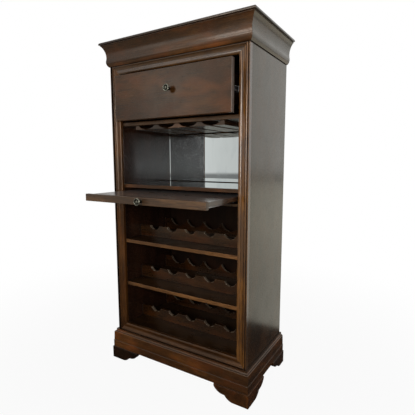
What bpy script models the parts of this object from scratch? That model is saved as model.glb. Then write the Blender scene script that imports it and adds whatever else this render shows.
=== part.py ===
"""A free-standing bar cabinet of dark stained wood.

From the top it has a crown, a drawer, a mirrored bay with a hanging stemware rack, a pull-out
tray and three wine bays with scalloped rails. A mitred face frame goes round the opening, and
a moulded base with bracket feet carries it all. The drawer stands a little open and the tray
is pulled out.

Units are metres. X runs to the right, Y to the back and Z up. The functions measure places
from the middle of the face frame's front, at floor level. One empty shifts the whole cabinet,
so that the box around it stands centred on the origin.
"""

import math

import bmesh
import bpy
from mathutils import Matrix, Vector

# Fits between pieces
SEAT = 0.0003
RACE_GAP = 0.0005
EASE = 0.0010

# Body
BODY_WIDTH = 0.698
BODY_DEPTH = 0.382
SIDE_THICK = 0.019
LINER_THICK = 0.012
BATTEN_WIDTH = 0.040
BACK_THICK = 0.006
RABBET_WIDTH = 0.0095
DADO_DEPTH = 0.006

# Face frame
FRAME_WIDTH = 0.047
FRAME_THICK = 0.020
OPENING_EDGE = 0.011
EDGE_BEAD_WIDTH = 0.0135
EDGE_BEAD_RISE = 0.0042
EDGE_BEAD_END = 0.0135
QUIRK = 0.0012
COVE_WIDTH = 0.0160
COVE_END = 0.0165
COVE_SAG = 0.0016
OUTER_BEAD_WIDTH = 0.0105
OUTER_BEAD_RISE = 0.0032
GROOVE_DEPTH = 0.0045
FILLET_WIDTH = 0.0045

# Heights inside the opening, from the floor of the lowest bay up
FLOOR_THICK = 0.016
WINE_BAY = 0.195
WINE_SHELF_THICK = 0.016
TRAY_SHELF_THICK = 0.011
TRAY_SLOT = 0.043
BAR_SHELF_THICK = 0.015
GLASS_BAY = 0.266
DRAWER_SHELF_THICK = 0.016
DRAWER_BAY = 0.212

# Base and feet
FOOT_HEIGHT = 0.056
FOOT_THICK = 0.020
FOOT_STANDOFF = 0.0235
FRONT_FOOT_FLAT = 0.072
REAR_FOOT_FLAT = 0.046
FOOT_LOWER_RUN = 0.036
FOOT_LOWER_RISE = 0.022
FOOT_LOWER_BULGE = 0.0045
FOOT_UPPER_RUN = 0.052
FOOT_UPPER_RISE = 0.026
FOOT_UPPER_BULGE = 0.0085
BASE_SEAT = 0.078
BASE_RISE = 0.0125
BASE_INSIDE = 0.019
BASE_FILLET = 0.0090
BASE_FILLET_HEIGHT = 0.0065
BASE_NOSING = 0.0145
BASE_NOSING_HEIGHT = 0.0210
BASE_NOSING_BULGE = 0.0030
BASE_UPPER_BAND = 0.031
BASE_BAND_FLARE = 0.0025
BASE_LEDGE = 0.0025
BASE_LEDGE_HEIGHT = 0.0040
BASE_BACK_THICK = 0.019

# Crown and top
CROWN_REVEAL = 0.036
CROWN_HEIGHT = 0.0911
CROWN_OVOLO = 0.0125
CROWN_OVOLO_HEIGHT = 0.0260
CROWN_OVOLO_BULGE = 0.0042
CROWN_COVE = 0.0270
CROWN_COVE_SAG = 0.0068
CROWN_FILLET = 0.0020
CROWN_FILLET_HEIGHT = 0.0036
CROWN_BACKING = 0.019
TOP_THICK = 0.011
TOP_OVERHANG = 0.0350
TOP_NOSING = 0.0075

# Wine racks
BOTTLE_COUNT = 5
BOTTLE_PITCH = 0.105
RACK_THICK = 0.014
FRONT_RACK_PLACE = 0.124
FRONT_RACK_HEIGHT = 0.056
NECK_NOTCH_WIDTH = 0.058
NECK_NOTCH_DEPTH = 0.020
REAR_RACK_PLACE = 0.322
REAR_RACK_HEIGHT = 0.062
BODY_NOTCH_DEPTH = 0.037
BODY_NOTCH_POINT = 0.002

# Stemware rack
STEM_SLOTS = 4
STEM_SLOT_WIDTH = 0.020
STEM_RAIL_WIDTH = 0.092
STEM_END_WIDTH = 0.052
STEM_NECK = 0.020
STEM_RAIL_HEIGHT = 0.018
STEM_LIP = 0.003
STEM_SHOULDER_SAG = 0.0045
STEM_SETBACK = 0.010
STEM_LENGTH = 0.300

# Mirrors
MIRROR_THICK = 0.004
SHELF_MIRROR_THICK = 0.003
SHELF_MIRROR_BORDER = 0.012
MIRROR_BEVEL = 0.0012

# Slides: the drawer's stand at its sides, the tray's lie under its board
SLIDE_GAUGE = 0.0012
SLIDE_LENGTH = 0.325
SLIDE_PLAY = 0.0010
SIDE_SLIDE_THICK = 0.0127
SIDE_SLIDE_HEIGHT = 0.024
SIDE_SLIDE_FLANGE = 0.0085
FLAT_SLIDE_WIDTH = 0.022
FLAT_SLIDE_FLANGE = 0.0070
FLAT_SLIDE_INSET = 0.030

# Drawer
DRAWER_OPEN = 0.040
DRAWER_RECESS = 0.009
DRAWER_FRONT_THICK = 0.020
DRAWER_SIDE_GAP = 0.009
DRAWER_TOP_GAP = 0.0142
DRAWER_BOTTOM_GAP = 0.0022
BOX_HEIGHT = 0.108
BOX_RAISE = 0.034
BOX_WALL = 0.012
BOX_LENGTH = 0.335
BOX_BOTTOM_THICK = 0.005
BOX_BOTTOM_RAISE = 0.012
BOX_GROOVE = 0.006
BOX_GROOVE_PLAY = 0.0004

# Tray
TRAY_OPEN = 0.2225
TRAY_RECESS = 0.009
TRAY_THICK = 0.0165
TRAY_LENGTH = 0.333
TRAY_RAISE = 0.0115
TRAY_SIDE_GAP = 0.009
LIP_THICK = 0.018
LIP_HEIGHT = 0.0295
LIP_SIDE_GAP = 0.006
LIP_RAISE = 0.0015

# Knobs
KNOB_OFFSET = 0.010
KNOB_RADIUS = 0.0145
KNOB_LENGTH = 0.0255
KNOB_HEAD_THICK = 0.0065
KNOB_RIM = 0.0040
KNOB_RIM_BULGE = 0.0016
KNOB_DISH_DEPTH = 0.0030
KNOB_BUTTON_RADIUS = 0.0048
KNOB_BUTTON_BULGE = 0.0010
KNOB_NECK_RADIUS = 0.0038
KNOB_NECK_SAG = 0.0008
KNOB_FOOT_RADIUS = 0.0058
KNOB_FOOT_THICK = 0.0025
STUD_RADIUS = 0.0025
STUD_LENGTH = 0.013
STUD_PLAY = 0.0004
DRAWER_KNOB_DROP = 0.084
ROUND_STEPS = 24

# Levels and limits that follow from the sizes above
HALF_BODY = BODY_WIDTH / 2
HALF_OPENING = HALF_BODY - FRAME_WIDTH
CARCASS_BOTTOM = FOOT_HEIGHT + BASE_SEAT + 2 * SEAT
OPENING_BOTTOM = CARCASS_BOTTOM + FRAME_WIDTH
LOWER_SHELF_TOP = OPENING_BOTTOM + WINE_BAY + WINE_SHELF_THICK
UPPER_SHELF_TOP = LOWER_SHELF_TOP + WINE_BAY + WINE_SHELF_THICK
TRAY_SHELF_TOP = UPPER_SHELF_TOP + WINE_BAY + TRAY_SHELF_THICK
BAR_SHELF_TOP = TRAY_SHELF_TOP + TRAY_SLOT + BAR_SHELF_THICK
DRAWER_SHELF_TOP = BAR_SHELF_TOP + GLASS_BAY + DRAWER_SHELF_THICK
OPENING_TOP = DRAWER_SHELF_TOP + DRAWER_BAY
CROWN_BOTTOM = OPENING_TOP + CROWN_REVEAL
CARCASS_TOP = CROWN_BOTTOM + CROWN_HEIGHT
BACK_FACE = BODY_DEPTH - BACK_THICK
CARCASS_FRONT = FRAME_THICK + SEAT
HALF_BOX = HALF_OPENING - SIDE_SLIDE_THICK
HALF_TRAY = HALF_OPENING - TRAY_SIDE_GAP
DRAWER_FRONT_BOTTOM = DRAWER_SHELF_TOP + DRAWER_BOTTOM_GAP
DRAWER_FRONT_TOP = OPENING_TOP - DRAWER_TOP_GAP
BOX_BOTTOM = DRAWER_FRONT_BOTTOM + BOX_RAISE
DRAWER_AXIS_HEIGHT = BOX_BOTTOM + BOX_HEIGHT / 2
TRAY_BOTTOM = TRAY_SHELF_TOP + TRAY_RAISE
TRAY_AXIS_HEIGHT = TRAY_BOTTOM + TRAY_THICK / 2
LIP_BOTTOM = TRAY_SHELF_TOP + LIP_RAISE
FRONT_REACH = TRAY_OPEN - TRAY_RECESS + KNOB_LENGTH
CABINET_SHIFT = (FRONT_REACH - BODY_DEPTH) / 2

# Looks: linear colour, roughness and metallic
STAIN = ((0.060, 0.026, 0.013), 0.34, 0.0)
INSIDE_STAIN = ((0.030, 0.015, 0.009), 0.45, 0.0)
SILVERED = ((0.90, 0.91, 0.91), 0.03, 1.0)
ANTIQUE_BRASS = ((0.200, 0.160, 0.095), 0.35, 1.0)
DARK_STEEL = ((0.120, 0.120, 0.125), 0.40, 1.0)

X_AXIS = Vector((1, 0, 0))
Y_AXIS = Vector((0, 1, 0))
Z_AXIS = Vector((0, 0, 1))


def clear_scene():
    """Removes what an opened scene holds."""
    for obj in list(bpy.data.objects):
        bpy.data.objects.remove(obj)


def new_collection(name):
    """A collection linked to the scene."""
    collection = bpy.data.collections.new(name)
    bpy.context.scene.collection.children.link(collection)
    return collection


def carrier(name, place, parent=None):
    """An empty at a place in the cabinet, on the axis of what it carries."""
    empty = bpy.data.objects.new(name, None)
    PARTS.objects.link(empty)
    empty["place"] = place
    empty.parent = parent
    origin = Vector(parent["place"]) if parent else Vector()
    empty.location = Vector(place) - origin
    return empty


def dress(obj, look):
    """Gives a piece its own material."""
    colour, roughness, metallic = look
    material = bpy.data.materials.new(obj.name + "_finish")
    material.use_nodes = True
    shader = material.node_tree.nodes["Principled BSDF"]
    shader.inputs["Base Color"].default_value = (*colour, 1.0)
    shader.inputs["Roughness"].default_value = roughness
    shader.inputs["Metallic"].default_value = metallic
    material.diffuse_color = (*colour, 1.0)
    obj.data.materials.append(material)


def set_down(obj, place, parent, turn=None):
    """Places a piece by its location and rotation under the empty that carries it."""
    obj.parent = parent
    obj.location = Vector(place) - Vector(parent["place"])
    if turn is not None:
        obj.rotation_euler = turn


def facing(x_axis, y_axis):
    """The rotation that takes a piece's own X and Y to these directions."""
    columns = (x_axis, y_axis, x_axis.cross(y_axis))
    return Matrix(columns).transposed().to_euler()


def ease_edges(obj, width=EASE, segments=1):
    """Takes the sharpness off a piece's edges."""
    bevel = obj.modifiers.new("eased edges", "BEVEL")
    bevel.width = width
    bevel.segments = segments
    bevel.limit_method = "ANGLE"


def round_over(obj, width, segments):
    """Rounds a board's upper edges at the front and the two sides."""
    mesh = obj.data
    weights = mesh.attributes.new("bevel_weight_edge", "FLOAT", "EDGE")
    for edge in mesh.edges:
        ends = [mesh.vertices[index].co for index in edge.vertices]
        upper = all(end.z > 0 for end in ends)
        at_back = all(end.y > 0 for end in ends)
        weights.data[edge.index].value = float(upper and not at_back)
    bevel = obj.modifiers.new("rounded over", "BEVEL")
    bevel.width = width
    bevel.segments = segments
    bevel.limit_method = "WEIGHT"


def box_mesh(name, boxes):
    """A mesh of one or more boxes, each given by its middle and its size."""
    mesh = bpy.data.meshes.new(name)
    shape = bmesh.new()
    for middle, size in boxes:
        matrix = Matrix.Translation(middle) @ Matrix.Diagonal((*size, 1.0))
        bmesh.ops.create_cube(shape, size=1.0, matrix=matrix)
    shape.to_mesh(mesh)
    shape.free()
    return mesh


def board(name, x, y, z, look, parent, ease=EASE, segments=1):
    """A straight board that fills the limits x, y and z."""
    limits = (x, y, z)
    middle = [(low + high) / 2 for low, high in limits]
    size = [high - low for low, high in limits]
    obj = bpy.data.objects.new(name, box_mesh(name, [(Vector(), size)]))
    PARTS.objects.link(obj)
    set_down(obj, middle, parent)
    if ease:
        ease_edges(obj, ease, segments)
    dress(obj, look)
    return obj


def bow(start, end, rise, steps=8):
    """Points after start on an arc to end, whose middle stands rise to the left of the chord."""
    start, end = Vector(start), Vector(end)
    chord = end - start
    half = chord.length / 2
    radius = (half**2 + rise**2) / (2 * abs(rise))
    along = chord.normalized()
    outward = Vector((-along.y, along.x)) * math.copysign(1.0, rise)
    centre = (start + end) / 2 + outward * (abs(rise) - radius)
    sweep = math.asin(min(1.0, half / radius))
    points = []
    for step in range(1, steps + 1):
        angle = sweep * (2 * step / steps - 1)
        points.append(tuple(centre + (outward * math.cos(angle) + along * math.sin(angle)) * radius))
    return points


def outline_mesh(name, outline, length):
    """A solid from a closed outline in its own XY plane, as long as length along its own Z."""
    curve = bpy.data.curves.new(name, "CURVE")
    curve.dimensions = "2D"
    curve.fill_mode = "BOTH"
    curve.extrude = length / 2
    spline = curve.splines.new("POLY")
    spline.points.add(len(outline) - 1)
    for point, (x, y) in zip(spline.points, outline):
        point.co = (x, y, 0.0, 1.0)
    spline.use_cyclic_u = True
    drawn = bpy.data.objects.new(name, curve)
    PARTS.objects.link(drawn)
    bpy.context.view_layer.update()
    evaluated = drawn.evaluated_get(bpy.context.evaluated_depsgraph_get())
    mesh = bpy.data.meshes.new_from_object(evaluated)
    bpy.data.objects.remove(drawn)
    shape = bmesh.new()
    shape.from_mesh(mesh)
    bmesh.ops.remove_doubles(shape, verts=shape.verts, dist=0.00001)
    bmesh.ops.recalc_face_normals(shape, faces=shape.faces)
    shape.to_mesh(mesh)
    shape.free()
    mesh.materials.clear()
    return mesh


def mitre(mesh, low_slope, high_slope):
    """Slopes a moulding's two ends, by how far the cut runs along it for each step outwards."""
    for vertex in mesh.vertices:
        slope = high_slope if vertex.co.z > 0 else low_slope
        vertex.co.z += slope * vertex.co.x


def add_piece(name, mesh, place, turn, look, parent):
    """A piece from a ready mesh."""
    obj = bpy.data.objects.new(name, mesh)
    PARTS.objects.link(obj)
    set_down(obj, place, parent, turn)
    dress(obj, look)
    return obj


def moulding(name, outline, length, ends, place, turn, look, parent):
    """A moulding run, with a mitre slope for its lower and its higher end."""
    mesh = outline_mesh(name, outline, length)
    mitre(mesh, *ends)
    mesh.shade_smooth()
    mesh.set_sharp_from_angle(angle=math.radians(30))
    return add_piece(name, mesh, place, turn, look, parent)


def cut(obj, mesh, place, parent):
    """Cuts a wire-drawn shape out of a piece."""
    cutter = bpy.data.objects.new("cut_" + obj.name, mesh)
    CUTTERS.objects.link(cutter)
    set_down(cutter, place, parent)
    cutter.hide_render = True
    cutter.display_type = "WIRE"
    boolean = obj.modifiers.new("cut", "BOOLEAN")
    boolean.operation = "DIFFERENCE"
    boolean.solver = "EXACT"
    boolean.object = cutter


def base_outline():
    """The base moulding's section: X outwards from the body's face, Y up from its underside."""
    seat = BASE_SEAT
    top = seat + BASE_RISE
    fillet_low = top - BASE_FILLET_HEIGHT
    nosing_low = fillet_low - BASE_NOSING_HEIGHT
    band_low = nosing_low - BASE_UPPER_BAND
    ledge_low = band_low - BASE_LEDGE_HEIGHT
    band_out = BASE_NOSING + BASE_BAND_FLARE
    ledge_out = band_out + BASE_LEDGE
    points = [(-BASE_INSIDE, 0.0), (ledge_out, 0.0), (ledge_out, ledge_low)]
    points += bow((ledge_out, ledge_low), (band_out, band_low), -BASE_LEDGE / 4, 4)
    points += [(BASE_NOSING, nosing_low)]
    points += bow((BASE_NOSING, nosing_low), (BASE_FILLET, fillet_low), -BASE_NOSING_BULGE, 8)
    points += [(BASE_FILLET, top), (SEAT, top), (SEAT, seat), (-BASE_INSIDE, seat)]
    return points


def foot_outline(flat):
    """A bracket foot's wing: X from the corner inwards along the base, Y up from the floor."""
    toe = (flat, 0.0)
    cusp = (flat + FOOT_LOWER_RUN, FOOT_LOWER_RISE)
    shoulder = (cusp[0] + FOOT_UPPER_RUN, cusp[1] + FOOT_UPPER_RISE)
    points = [(0.0, 0.0), toe]
    points += bow(toe, cusp, -FOOT_LOWER_BULGE, 6)
    points += bow(cusp, shoulder, -FOOT_UPPER_BULGE, 8)
    points += [(shoulder[0], FOOT_HEIGHT), (0.0, FOOT_HEIGHT)]
    return points


def foot_mesh(flat):
    """A bracket foot: two wings that meet in a mitred corner at its own origin."""
    mesh = outline_mesh("foot", foot_outline(flat), FOOT_THICK)
    shape = bmesh.new()
    shape.from_mesh(mesh)
    corner = [v for v in shape.verts if v.co.x < flat / 2]
    joint_faces = [f for f in shape.faces if all(v in corner for v in f.verts)]
    bmesh.ops.delete(shape, geom=joint_faces, context="FACES")
    for vertex in shape.verts:
        vertex.co.z += FOOT_THICK / 2
    for vertex in corner:
        vertex.co.x = vertex.co.z
    to_second_wing = Matrix(((0, 0, 1, 0), (0, 1, 0, 0), (1, 0, 0, 0), (0, 0, 0, 1)))
    copy = bmesh.ops.duplicate(shape, geom=shape.verts[:] + shape.edges[:] + shape.faces[:])
    second = [item for item in copy["geom"] if isinstance(item, bmesh.types.BMVert)]
    bmesh.ops.transform(shape, matrix=to_second_wing, verts=second)
    bmesh.ops.remove_doubles(shape, verts=shape.verts, dist=0.00001)
    bmesh.ops.recalc_face_normals(shape, faces=shape.faces)
    shape.to_mesh(mesh)
    shape.free()
    return mesh


def build_base(cabinet):
    """The three base mouldings, the rail behind them and the four bracket feet."""
    outline = base_outline()
    bottom = FOOT_HEIGHT + SEAT
    front_length = BODY_WIDTH - SEAT
    moulding("base_front", outline, front_length, (-1.0, 1.0), (0, 0, bottom),
             facing(-Y_AXIS, Z_AXIS), STAIN, cabinet)
    side_length = BODY_DEPTH - SEAT / 2
    side_middle = (BODY_DEPTH + SEAT / 2) / 2
    moulding("base_left", outline, side_length, (-1.0, 0.0), (-HALF_BODY, side_middle, bottom),
             facing(-X_AXIS, Z_AXIS), STAIN, cabinet)
    moulding("base_right", outline, side_length, (0.0, 1.0), (HALF_BODY, side_middle, bottom),
             facing(X_AXIS, Z_AXIS), STAIN, cabinet)
    rail_half = HALF_BODY - BASE_INSIDE - SEAT
    board("base_back", (-rail_half, rail_half), (BODY_DEPTH - BASE_BACK_THICK, BODY_DEPTH),
          (bottom, bottom + BASE_SEAT), INSIDE_STAIN, cabinet)
    corner_x = HALF_BODY + FOOT_STANDOFF
    feet = (
        ("foot_front_left", -corner_x, -FOOT_STANDOFF, Y_AXIS, FRONT_FOOT_FLAT),
        ("foot_front_right", corner_x, -FOOT_STANDOFF, -X_AXIS, FRONT_FOOT_FLAT),
        ("foot_rear_left", -corner_x, BODY_DEPTH, X_AXIS, REAR_FOOT_FLAT),
        ("foot_rear_right", corner_x, BODY_DEPTH, -Y_AXIS, REAR_FOOT_FLAT),
    )
    for name, x, y, wing, flat in feet:
        add_piece(name, foot_mesh(flat), (x, y, 0), facing(wing, Z_AXIS), STAIN, cabinet)


def frame_outline():
    """The face frame's section: X from the opening outwards, Y forwards from its back."""
    bead_end = EDGE_BEAD_WIDTH
    cove_start = EDGE_BEAD_END - QUIRK
    cove_end = bead_end + COVE_WIDTH
    bead_height = COVE_END - QUIRK
    outer_bead_end = cove_end + OUTER_BEAD_WIDTH
    groove_floor = FRAME_THICK - GROOVE_DEPTH
    fillet_start = FRAME_WIDTH - FILLET_WIDTH
    points = [(0.0, 0.0), (FRAME_WIDTH, 0.0), (FRAME_WIDTH, FRAME_THICK)]
    points += [(fillet_start, FRAME_THICK), (fillet_start, groove_floor)]
    points += [(outer_bead_end, groove_floor)]
    points += bow((outer_bead_end, groove_floor), (cove_end, bead_height), -OUTER_BEAD_RISE, 6)
    points += [(cove_end - QUIRK / 4, COVE_END)]
    points += bow((cove_end - QUIRK / 4, COVE_END), (bead_end, cove_start), COVE_SAG, 6)
    points += [(bead_end, EDGE_BEAD_END)]
    points += bow((bead_end, EDGE_BEAD_END), (0.0, OPENING_EDGE), -EDGE_BEAD_RISE, 8)
    return points


def build_face_frame(cabinet):
    """The two stiles and two rails of the mitred frame round the opening."""
    outline = frame_outline()
    stile_length = OPENING_TOP - OPENING_BOTTOM - SEAT
    rail_length = 2 * HALF_OPENING - SEAT
    middle = (OPENING_TOP + OPENING_BOTTOM) / 2
    runs = (
        ("frame_stile_left", stile_length, (-HALF_OPENING, middle), -X_AXIS),
        ("frame_stile_right", stile_length, (HALF_OPENING, middle), X_AXIS),
        ("frame_rail_top", rail_length, (0, OPENING_TOP), Z_AXIS),
        ("frame_rail_bottom", rail_length, (0, OPENING_BOTTOM), -Z_AXIS),
    )
    for name, length, (x, z), outwards in runs:
        moulding(name, outline, length, (-1.0, 1.0), (x, FRAME_THICK, z),
                 facing(outwards, -Y_AXIS), STAIN, cabinet)


def crown_outline(backing):
    """The crown's section: X outwards from the body's face, Y up from its lower edge."""
    ovolo_end = (CROWN_OVOLO, CROWN_OVOLO_HEIGHT)
    cove_end = (CROWN_COVE, CROWN_HEIGHT - CROWN_FILLET_HEIGHT)
    fillet_out = CROWN_COVE + CROWN_FILLET
    points = [(SEAT, 0.0)]
    points += bow((SEAT, 0.0), ovolo_end, -CROWN_OVOLO_BULGE, 8)
    points += bow(ovolo_end, cove_end, CROWN_COVE_SAG, 12)
    points += [(fillet_out, cove_end[1]), (fillet_out, CROWN_HEIGHT)]
    if backing:
        frame_top = OPENING_TOP + FRAME_WIDTH + SEAT - CROWN_BOTTOM
        points += [(-CROWN_BACKING, CROWN_HEIGHT), (-CROWN_BACKING, frame_top), (SEAT, frame_top)]
    else:
        points += [(SEAT, CROWN_HEIGHT)]
    return points


def build_crown(cabinet):
    """The three crown mouldings and the top board."""
    front_length = BODY_WIDTH - SEAT
    moulding("crown_front", crown_outline(True), front_length, (-1.0, 1.0),
             (0, 0, CROWN_BOTTOM), facing(-Y_AXIS, Z_AXIS), STAIN, cabinet)
    side_length = BODY_DEPTH - SEAT / 2
    side_middle = (BODY_DEPTH + SEAT / 2) / 2
    moulding("crown_left", crown_outline(False), side_length, (-1.0, 0.0),
             (-HALF_BODY, side_middle, CROWN_BOTTOM), facing(-X_AXIS, Z_AXIS), STAIN, cabinet)
    moulding("crown_right", crown_outline(False), side_length, (0.0, 1.0),
             (HALF_BODY, side_middle, CROWN_BOTTOM), facing(X_AXIS, Z_AXIS), STAIN, cabinet)
    half_top = HALF_BODY + TOP_OVERHANG
    bottom = CARCASS_TOP + SEAT
    top = board("top_board", (-half_top, half_top), (-TOP_OVERHANG, BODY_DEPTH),
                (bottom, bottom + TOP_THICK), STAIN, cabinet, None)
    round_over(top, TOP_NOSING, 4)
    ease_edges(top)


def side_outline():
    """A side panel seen from above: X from its outer face inwards, Y to the back."""
    rabbet_front = BACK_FACE - SEAT
    return [
        (0.0, CARCASS_FRONT), (0.0, BODY_DEPTH), (SIDE_THICK - RABBET_WIDTH, BODY_DEPTH),
        (SIDE_THICK - RABBET_WIDTH, rabbet_front), (SIDE_THICK, rabbet_front),
        (SIDE_THICK, CARCASS_FRONT),
    ]


def liner_outline():
    """An inner side with its two battens seen from above: X from its inner face outwards."""
    depth = FRAME_WIDTH - SIDE_THICK - SEAT
    back = BACK_FACE - SEAT
    return [
        (0.0, CARCASS_FRONT), (depth, CARCASS_FRONT), (depth, CARCASS_FRONT + BATTEN_WIDTH),
        (LINER_THICK, CARCASS_FRONT + BATTEN_WIDTH), (LINER_THICK, back - BATTEN_WIDTH),
        (depth, back - BATTEN_WIDTH), (depth, back), (0.0, back),
    ]


def shelf_levels():
    """The top and the thickness of each board that is let into the inner sides."""
    return {
        "carcass_floor": (OPENING_BOTTOM, FLOOR_THICK),
        "wine_shelf_lower": (LOWER_SHELF_TOP, WINE_SHELF_THICK),
        "wine_shelf_upper": (UPPER_SHELF_TOP, WINE_SHELF_THICK),
        "tray_shelf": (TRAY_SHELF_TOP, TRAY_SHELF_THICK),
        "bar_shelf": (BAR_SHELF_TOP, BAR_SHELF_THICK),
        "drawer_shelf": (DRAWER_SHELF_TOP, DRAWER_SHELF_THICK),
    }


def build_sides(cabinet):
    """The side panels, the inner sides with their dados and the back panel."""
    height = CARCASS_TOP - CARCASS_BOTTOM
    middle = (CARCASS_TOP + CARCASS_BOTTOM) / 2
    dados = []
    for top, thick in shelf_levels().values():
        place = Vector((0, CARCASS_FRONT + BACK_FACE / 2, top - thick / 2))
        dados.append((place, (2 * DADO_DEPTH, 2 * BACK_FACE, thick + 2 * SEAT)))
    for side, sign in (("left", -1), ("right", 1)):
        inwards = X_AXIS * -sign
        panel = outline_mesh("side_panel", [(x * -sign, y) for x, y in side_outline()], height)
        obj = add_piece("side_panel_" + side, panel, (sign * HALF_BODY, 0, middle), None, STAIN, cabinet)
        ease_edges(obj, EASE / 2)
        liner = outline_mesh("inner_side", [(x * sign, y) for x, y in liner_outline()], height)
        place = (sign * HALF_OPENING, 0, middle)
        obj = add_piece("inner_side_" + side, liner, place, None, INSIDE_STAIN, cabinet)
        cut(obj, box_mesh("dados", dados), (sign * HALF_OPENING, 0, 0), cabinet)
    half = HALF_BODY - SIDE_THICK + RABBET_WIDTH - SEAT
    board("back_panel", (-half, half), (BACK_FACE, BODY_DEPTH), (CARCASS_BOTTOM, CARCASS_TOP),
          INSIDE_STAIN, cabinet, EASE / 2)


def build_shelves(cabinet):
    """The floor, the wine shelves, the two boards at the tray and the board under the drawer."""
    half = HALF_OPENING + DADO_DEPTH - SEAT
    depth = (CARCASS_FRONT, BACK_FACE - SEAT)
    for name, (top, thick) in shelf_levels().items():
        if name != "bar_shelf":
            board(name, (-half, half), depth, (top - thick, top), STAIN, cabinet)
    recess = SHELF_MIRROR_THICK + SEAT
    border = CARCASS_FRONT + SHELF_MIRROR_BORDER
    section = [
        (CARCASS_FRONT, -BAR_SHELF_THICK), (depth[1], -BAR_SHELF_THICK), (depth[1], -recess),
        (border, -recess), (border, 0.0), (CARCASS_FRONT, 0.0),
    ]
    mesh = outline_mesh("bar_shelf", section, 2 * half)
    obj = add_piece("bar_shelf", mesh, (0, 0, BAR_SHELF_TOP), facing(Y_AXIS, Z_AXIS), STAIN, cabinet)
    ease_edges(obj, EASE / 2)


def build_mirrors(cabinet):
    """The mirror at the back of the glass bay and the one let into the bar shelf."""
    half = HALF_OPENING - SEAT
    back = (BACK_FACE - SEAT - MIRROR_THICK, BACK_FACE - SEAT)
    under = DRAWER_SHELF_TOP - DRAWER_SHELF_THICK
    board("mirror_back", (-half, half), back, (BAR_SHELF_TOP + SEAT, under - SEAT), SILVERED,
          cabinet, MIRROR_BEVEL)
    front = CARCASS_FRONT + SHELF_MIRROR_BORDER + SEAT
    board("mirror_shelf", (-half, half), (front, back[0] - SEAT),
          (BAR_SHELF_TOP - SHELF_MIRROR_THICK, BAR_SHELF_TOP), SILVERED, cabinet, EASE / 4)


def rack_outline(height, notch_width, notch_depth):
    """A wine rail seen from the front: a strip with a round notch for each bottle."""
    half = HALF_OPENING - SEAT
    points = [(-half, 0.0), (half, 0.0), (half, height)]
    for index in range(BOTTLE_COUNT):
        centre = (BOTTLE_COUNT - 1 - 2 * index) / 2 * BOTTLE_PITCH
        right = (centre + notch_width / 2, height)
        left = (centre - notch_width / 2, height)
        points.append(right)
        points += bow(right, left, notch_depth, 10)
    points.append((-half, height))
    return points


def build_wine_racks(cabinet):
    """A front rail for the necks and a rear rail for the bottles in each of the three bays."""
    front = rack_outline(FRONT_RACK_HEIGHT, NECK_NOTCH_WIDTH, NECK_NOTCH_DEPTH)
    rear = rack_outline(REAR_RACK_HEIGHT, BOTTLE_PITCH - BODY_NOTCH_POINT, BODY_NOTCH_DEPTH)
    levels = (("low", OPENING_BOTTOM), ("middle", LOWER_SHELF_TOP), ("high", UPPER_SHELF_TOP))
    for level, floor in levels:
        for name, outline, place in (
            ("rack_front_", front, FRONT_RACK_PLACE),
            ("rack_rear_", rear, REAR_RACK_PLACE),
        ):
            mesh = outline_mesh(name, outline, RACK_THICK)
            add_piece(name + level, mesh, (0, place + RACK_THICK / 2, floor + SEAT),
                      facing(X_AXIS, Z_AXIS), STAIN, cabinet)


def stem_rail_outline():
    """A whole stemware rail from the front: a neck that spreads to two thin lips."""
    half, neck = STEM_RAIL_WIDTH / 2, STEM_NECK / 2
    right = bow((half, STEM_LIP), (neck, STEM_RAIL_HEIGHT), STEM_SHOULDER_SAG, 6)
    left = bow((-neck, STEM_RAIL_HEIGHT), (-half, STEM_LIP), STEM_SHOULDER_SAG, 6)
    corners = [(-half, 0.0), (half, 0.0), (half, STEM_LIP)]
    return corners + right + [(-neck, STEM_RAIL_HEIGHT)] + left


def stem_end_outline():
    """An end rail from the front: X from its full-height outer side to its one lip."""
    shoulder = STEM_END_WIDTH - (STEM_RAIL_WIDTH - STEM_NECK) / 2
    lip = (STEM_END_WIDTH, STEM_LIP)
    points = [(0.0, 0.0), (STEM_END_WIDTH, 0.0), lip]
    points += bow(lip, (shoulder, STEM_RAIL_HEIGHT), STEM_SHOULDER_SAG, 6)
    return points + [(0.0, STEM_RAIL_HEIGHT)]


def build_stem_rack(cabinet):
    """The whole rails and the two end rails that hang under the board below the drawer."""
    place = CARCASS_FRONT + STEM_SETBACK + STEM_LENGTH / 2
    bottom = DRAWER_SHELF_TOP - DRAWER_SHELF_THICK - SEAT - STEM_RAIL_HEIGHT
    pitch = STEM_RAIL_WIDTH + STEM_SLOT_WIDTH
    whole = STEM_SLOTS - 1
    for index in range(whole):
        centre = (index - (whole - 1) / 2) * pitch
        mesh = outline_mesh("stem_rail", stem_rail_outline(), STEM_LENGTH)
        add_piece(f"stem_rail_{index + 1}", mesh, (centre, place, bottom),
                  facing(X_AXIS, Z_AXIS), STAIN, cabinet)
    outer = whole * pitch / 2 + STEM_SLOT_WIDTH / 2 + STEM_END_WIDTH
    for side, sign in (("left", -1), ("right", 1)):
        mesh = outline_mesh("stem_end", stem_end_outline(), STEM_LENGTH)
        add_piece("stem_end_" + side, mesh, (sign * outer, place, bottom),
                  facing(X_AXIS * -sign, Z_AXIS), STAIN, cabinet)


def channel_outline(height, depth):
    """A slide member's section: a U whose web stands at X 0 and whose flanges point to +X."""
    half, gauge = height / 2, SLIDE_GAUGE
    return [
        (0.0, -half), (depth, -half), (depth, gauge - half), (gauge, gauge - half),
        (gauge, half - gauge), (depth, half - gauge), (depth, half), (0.0, half),
    ]


def slide_member(name, width, flange, back, opens, across, start, parent):
    """A slide member. Its web's back stands at the place back, and its flanges point to opens."""
    mesh = outline_mesh(name, channel_outline(width, flange), SLIDE_LENGTH)
    place = Vector(back) + Y_AXIS * (start + SLIDE_LENGTH / 2)
    add_piece(name, mesh, place, facing(opens, across), DARK_STEEL, parent)


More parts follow.
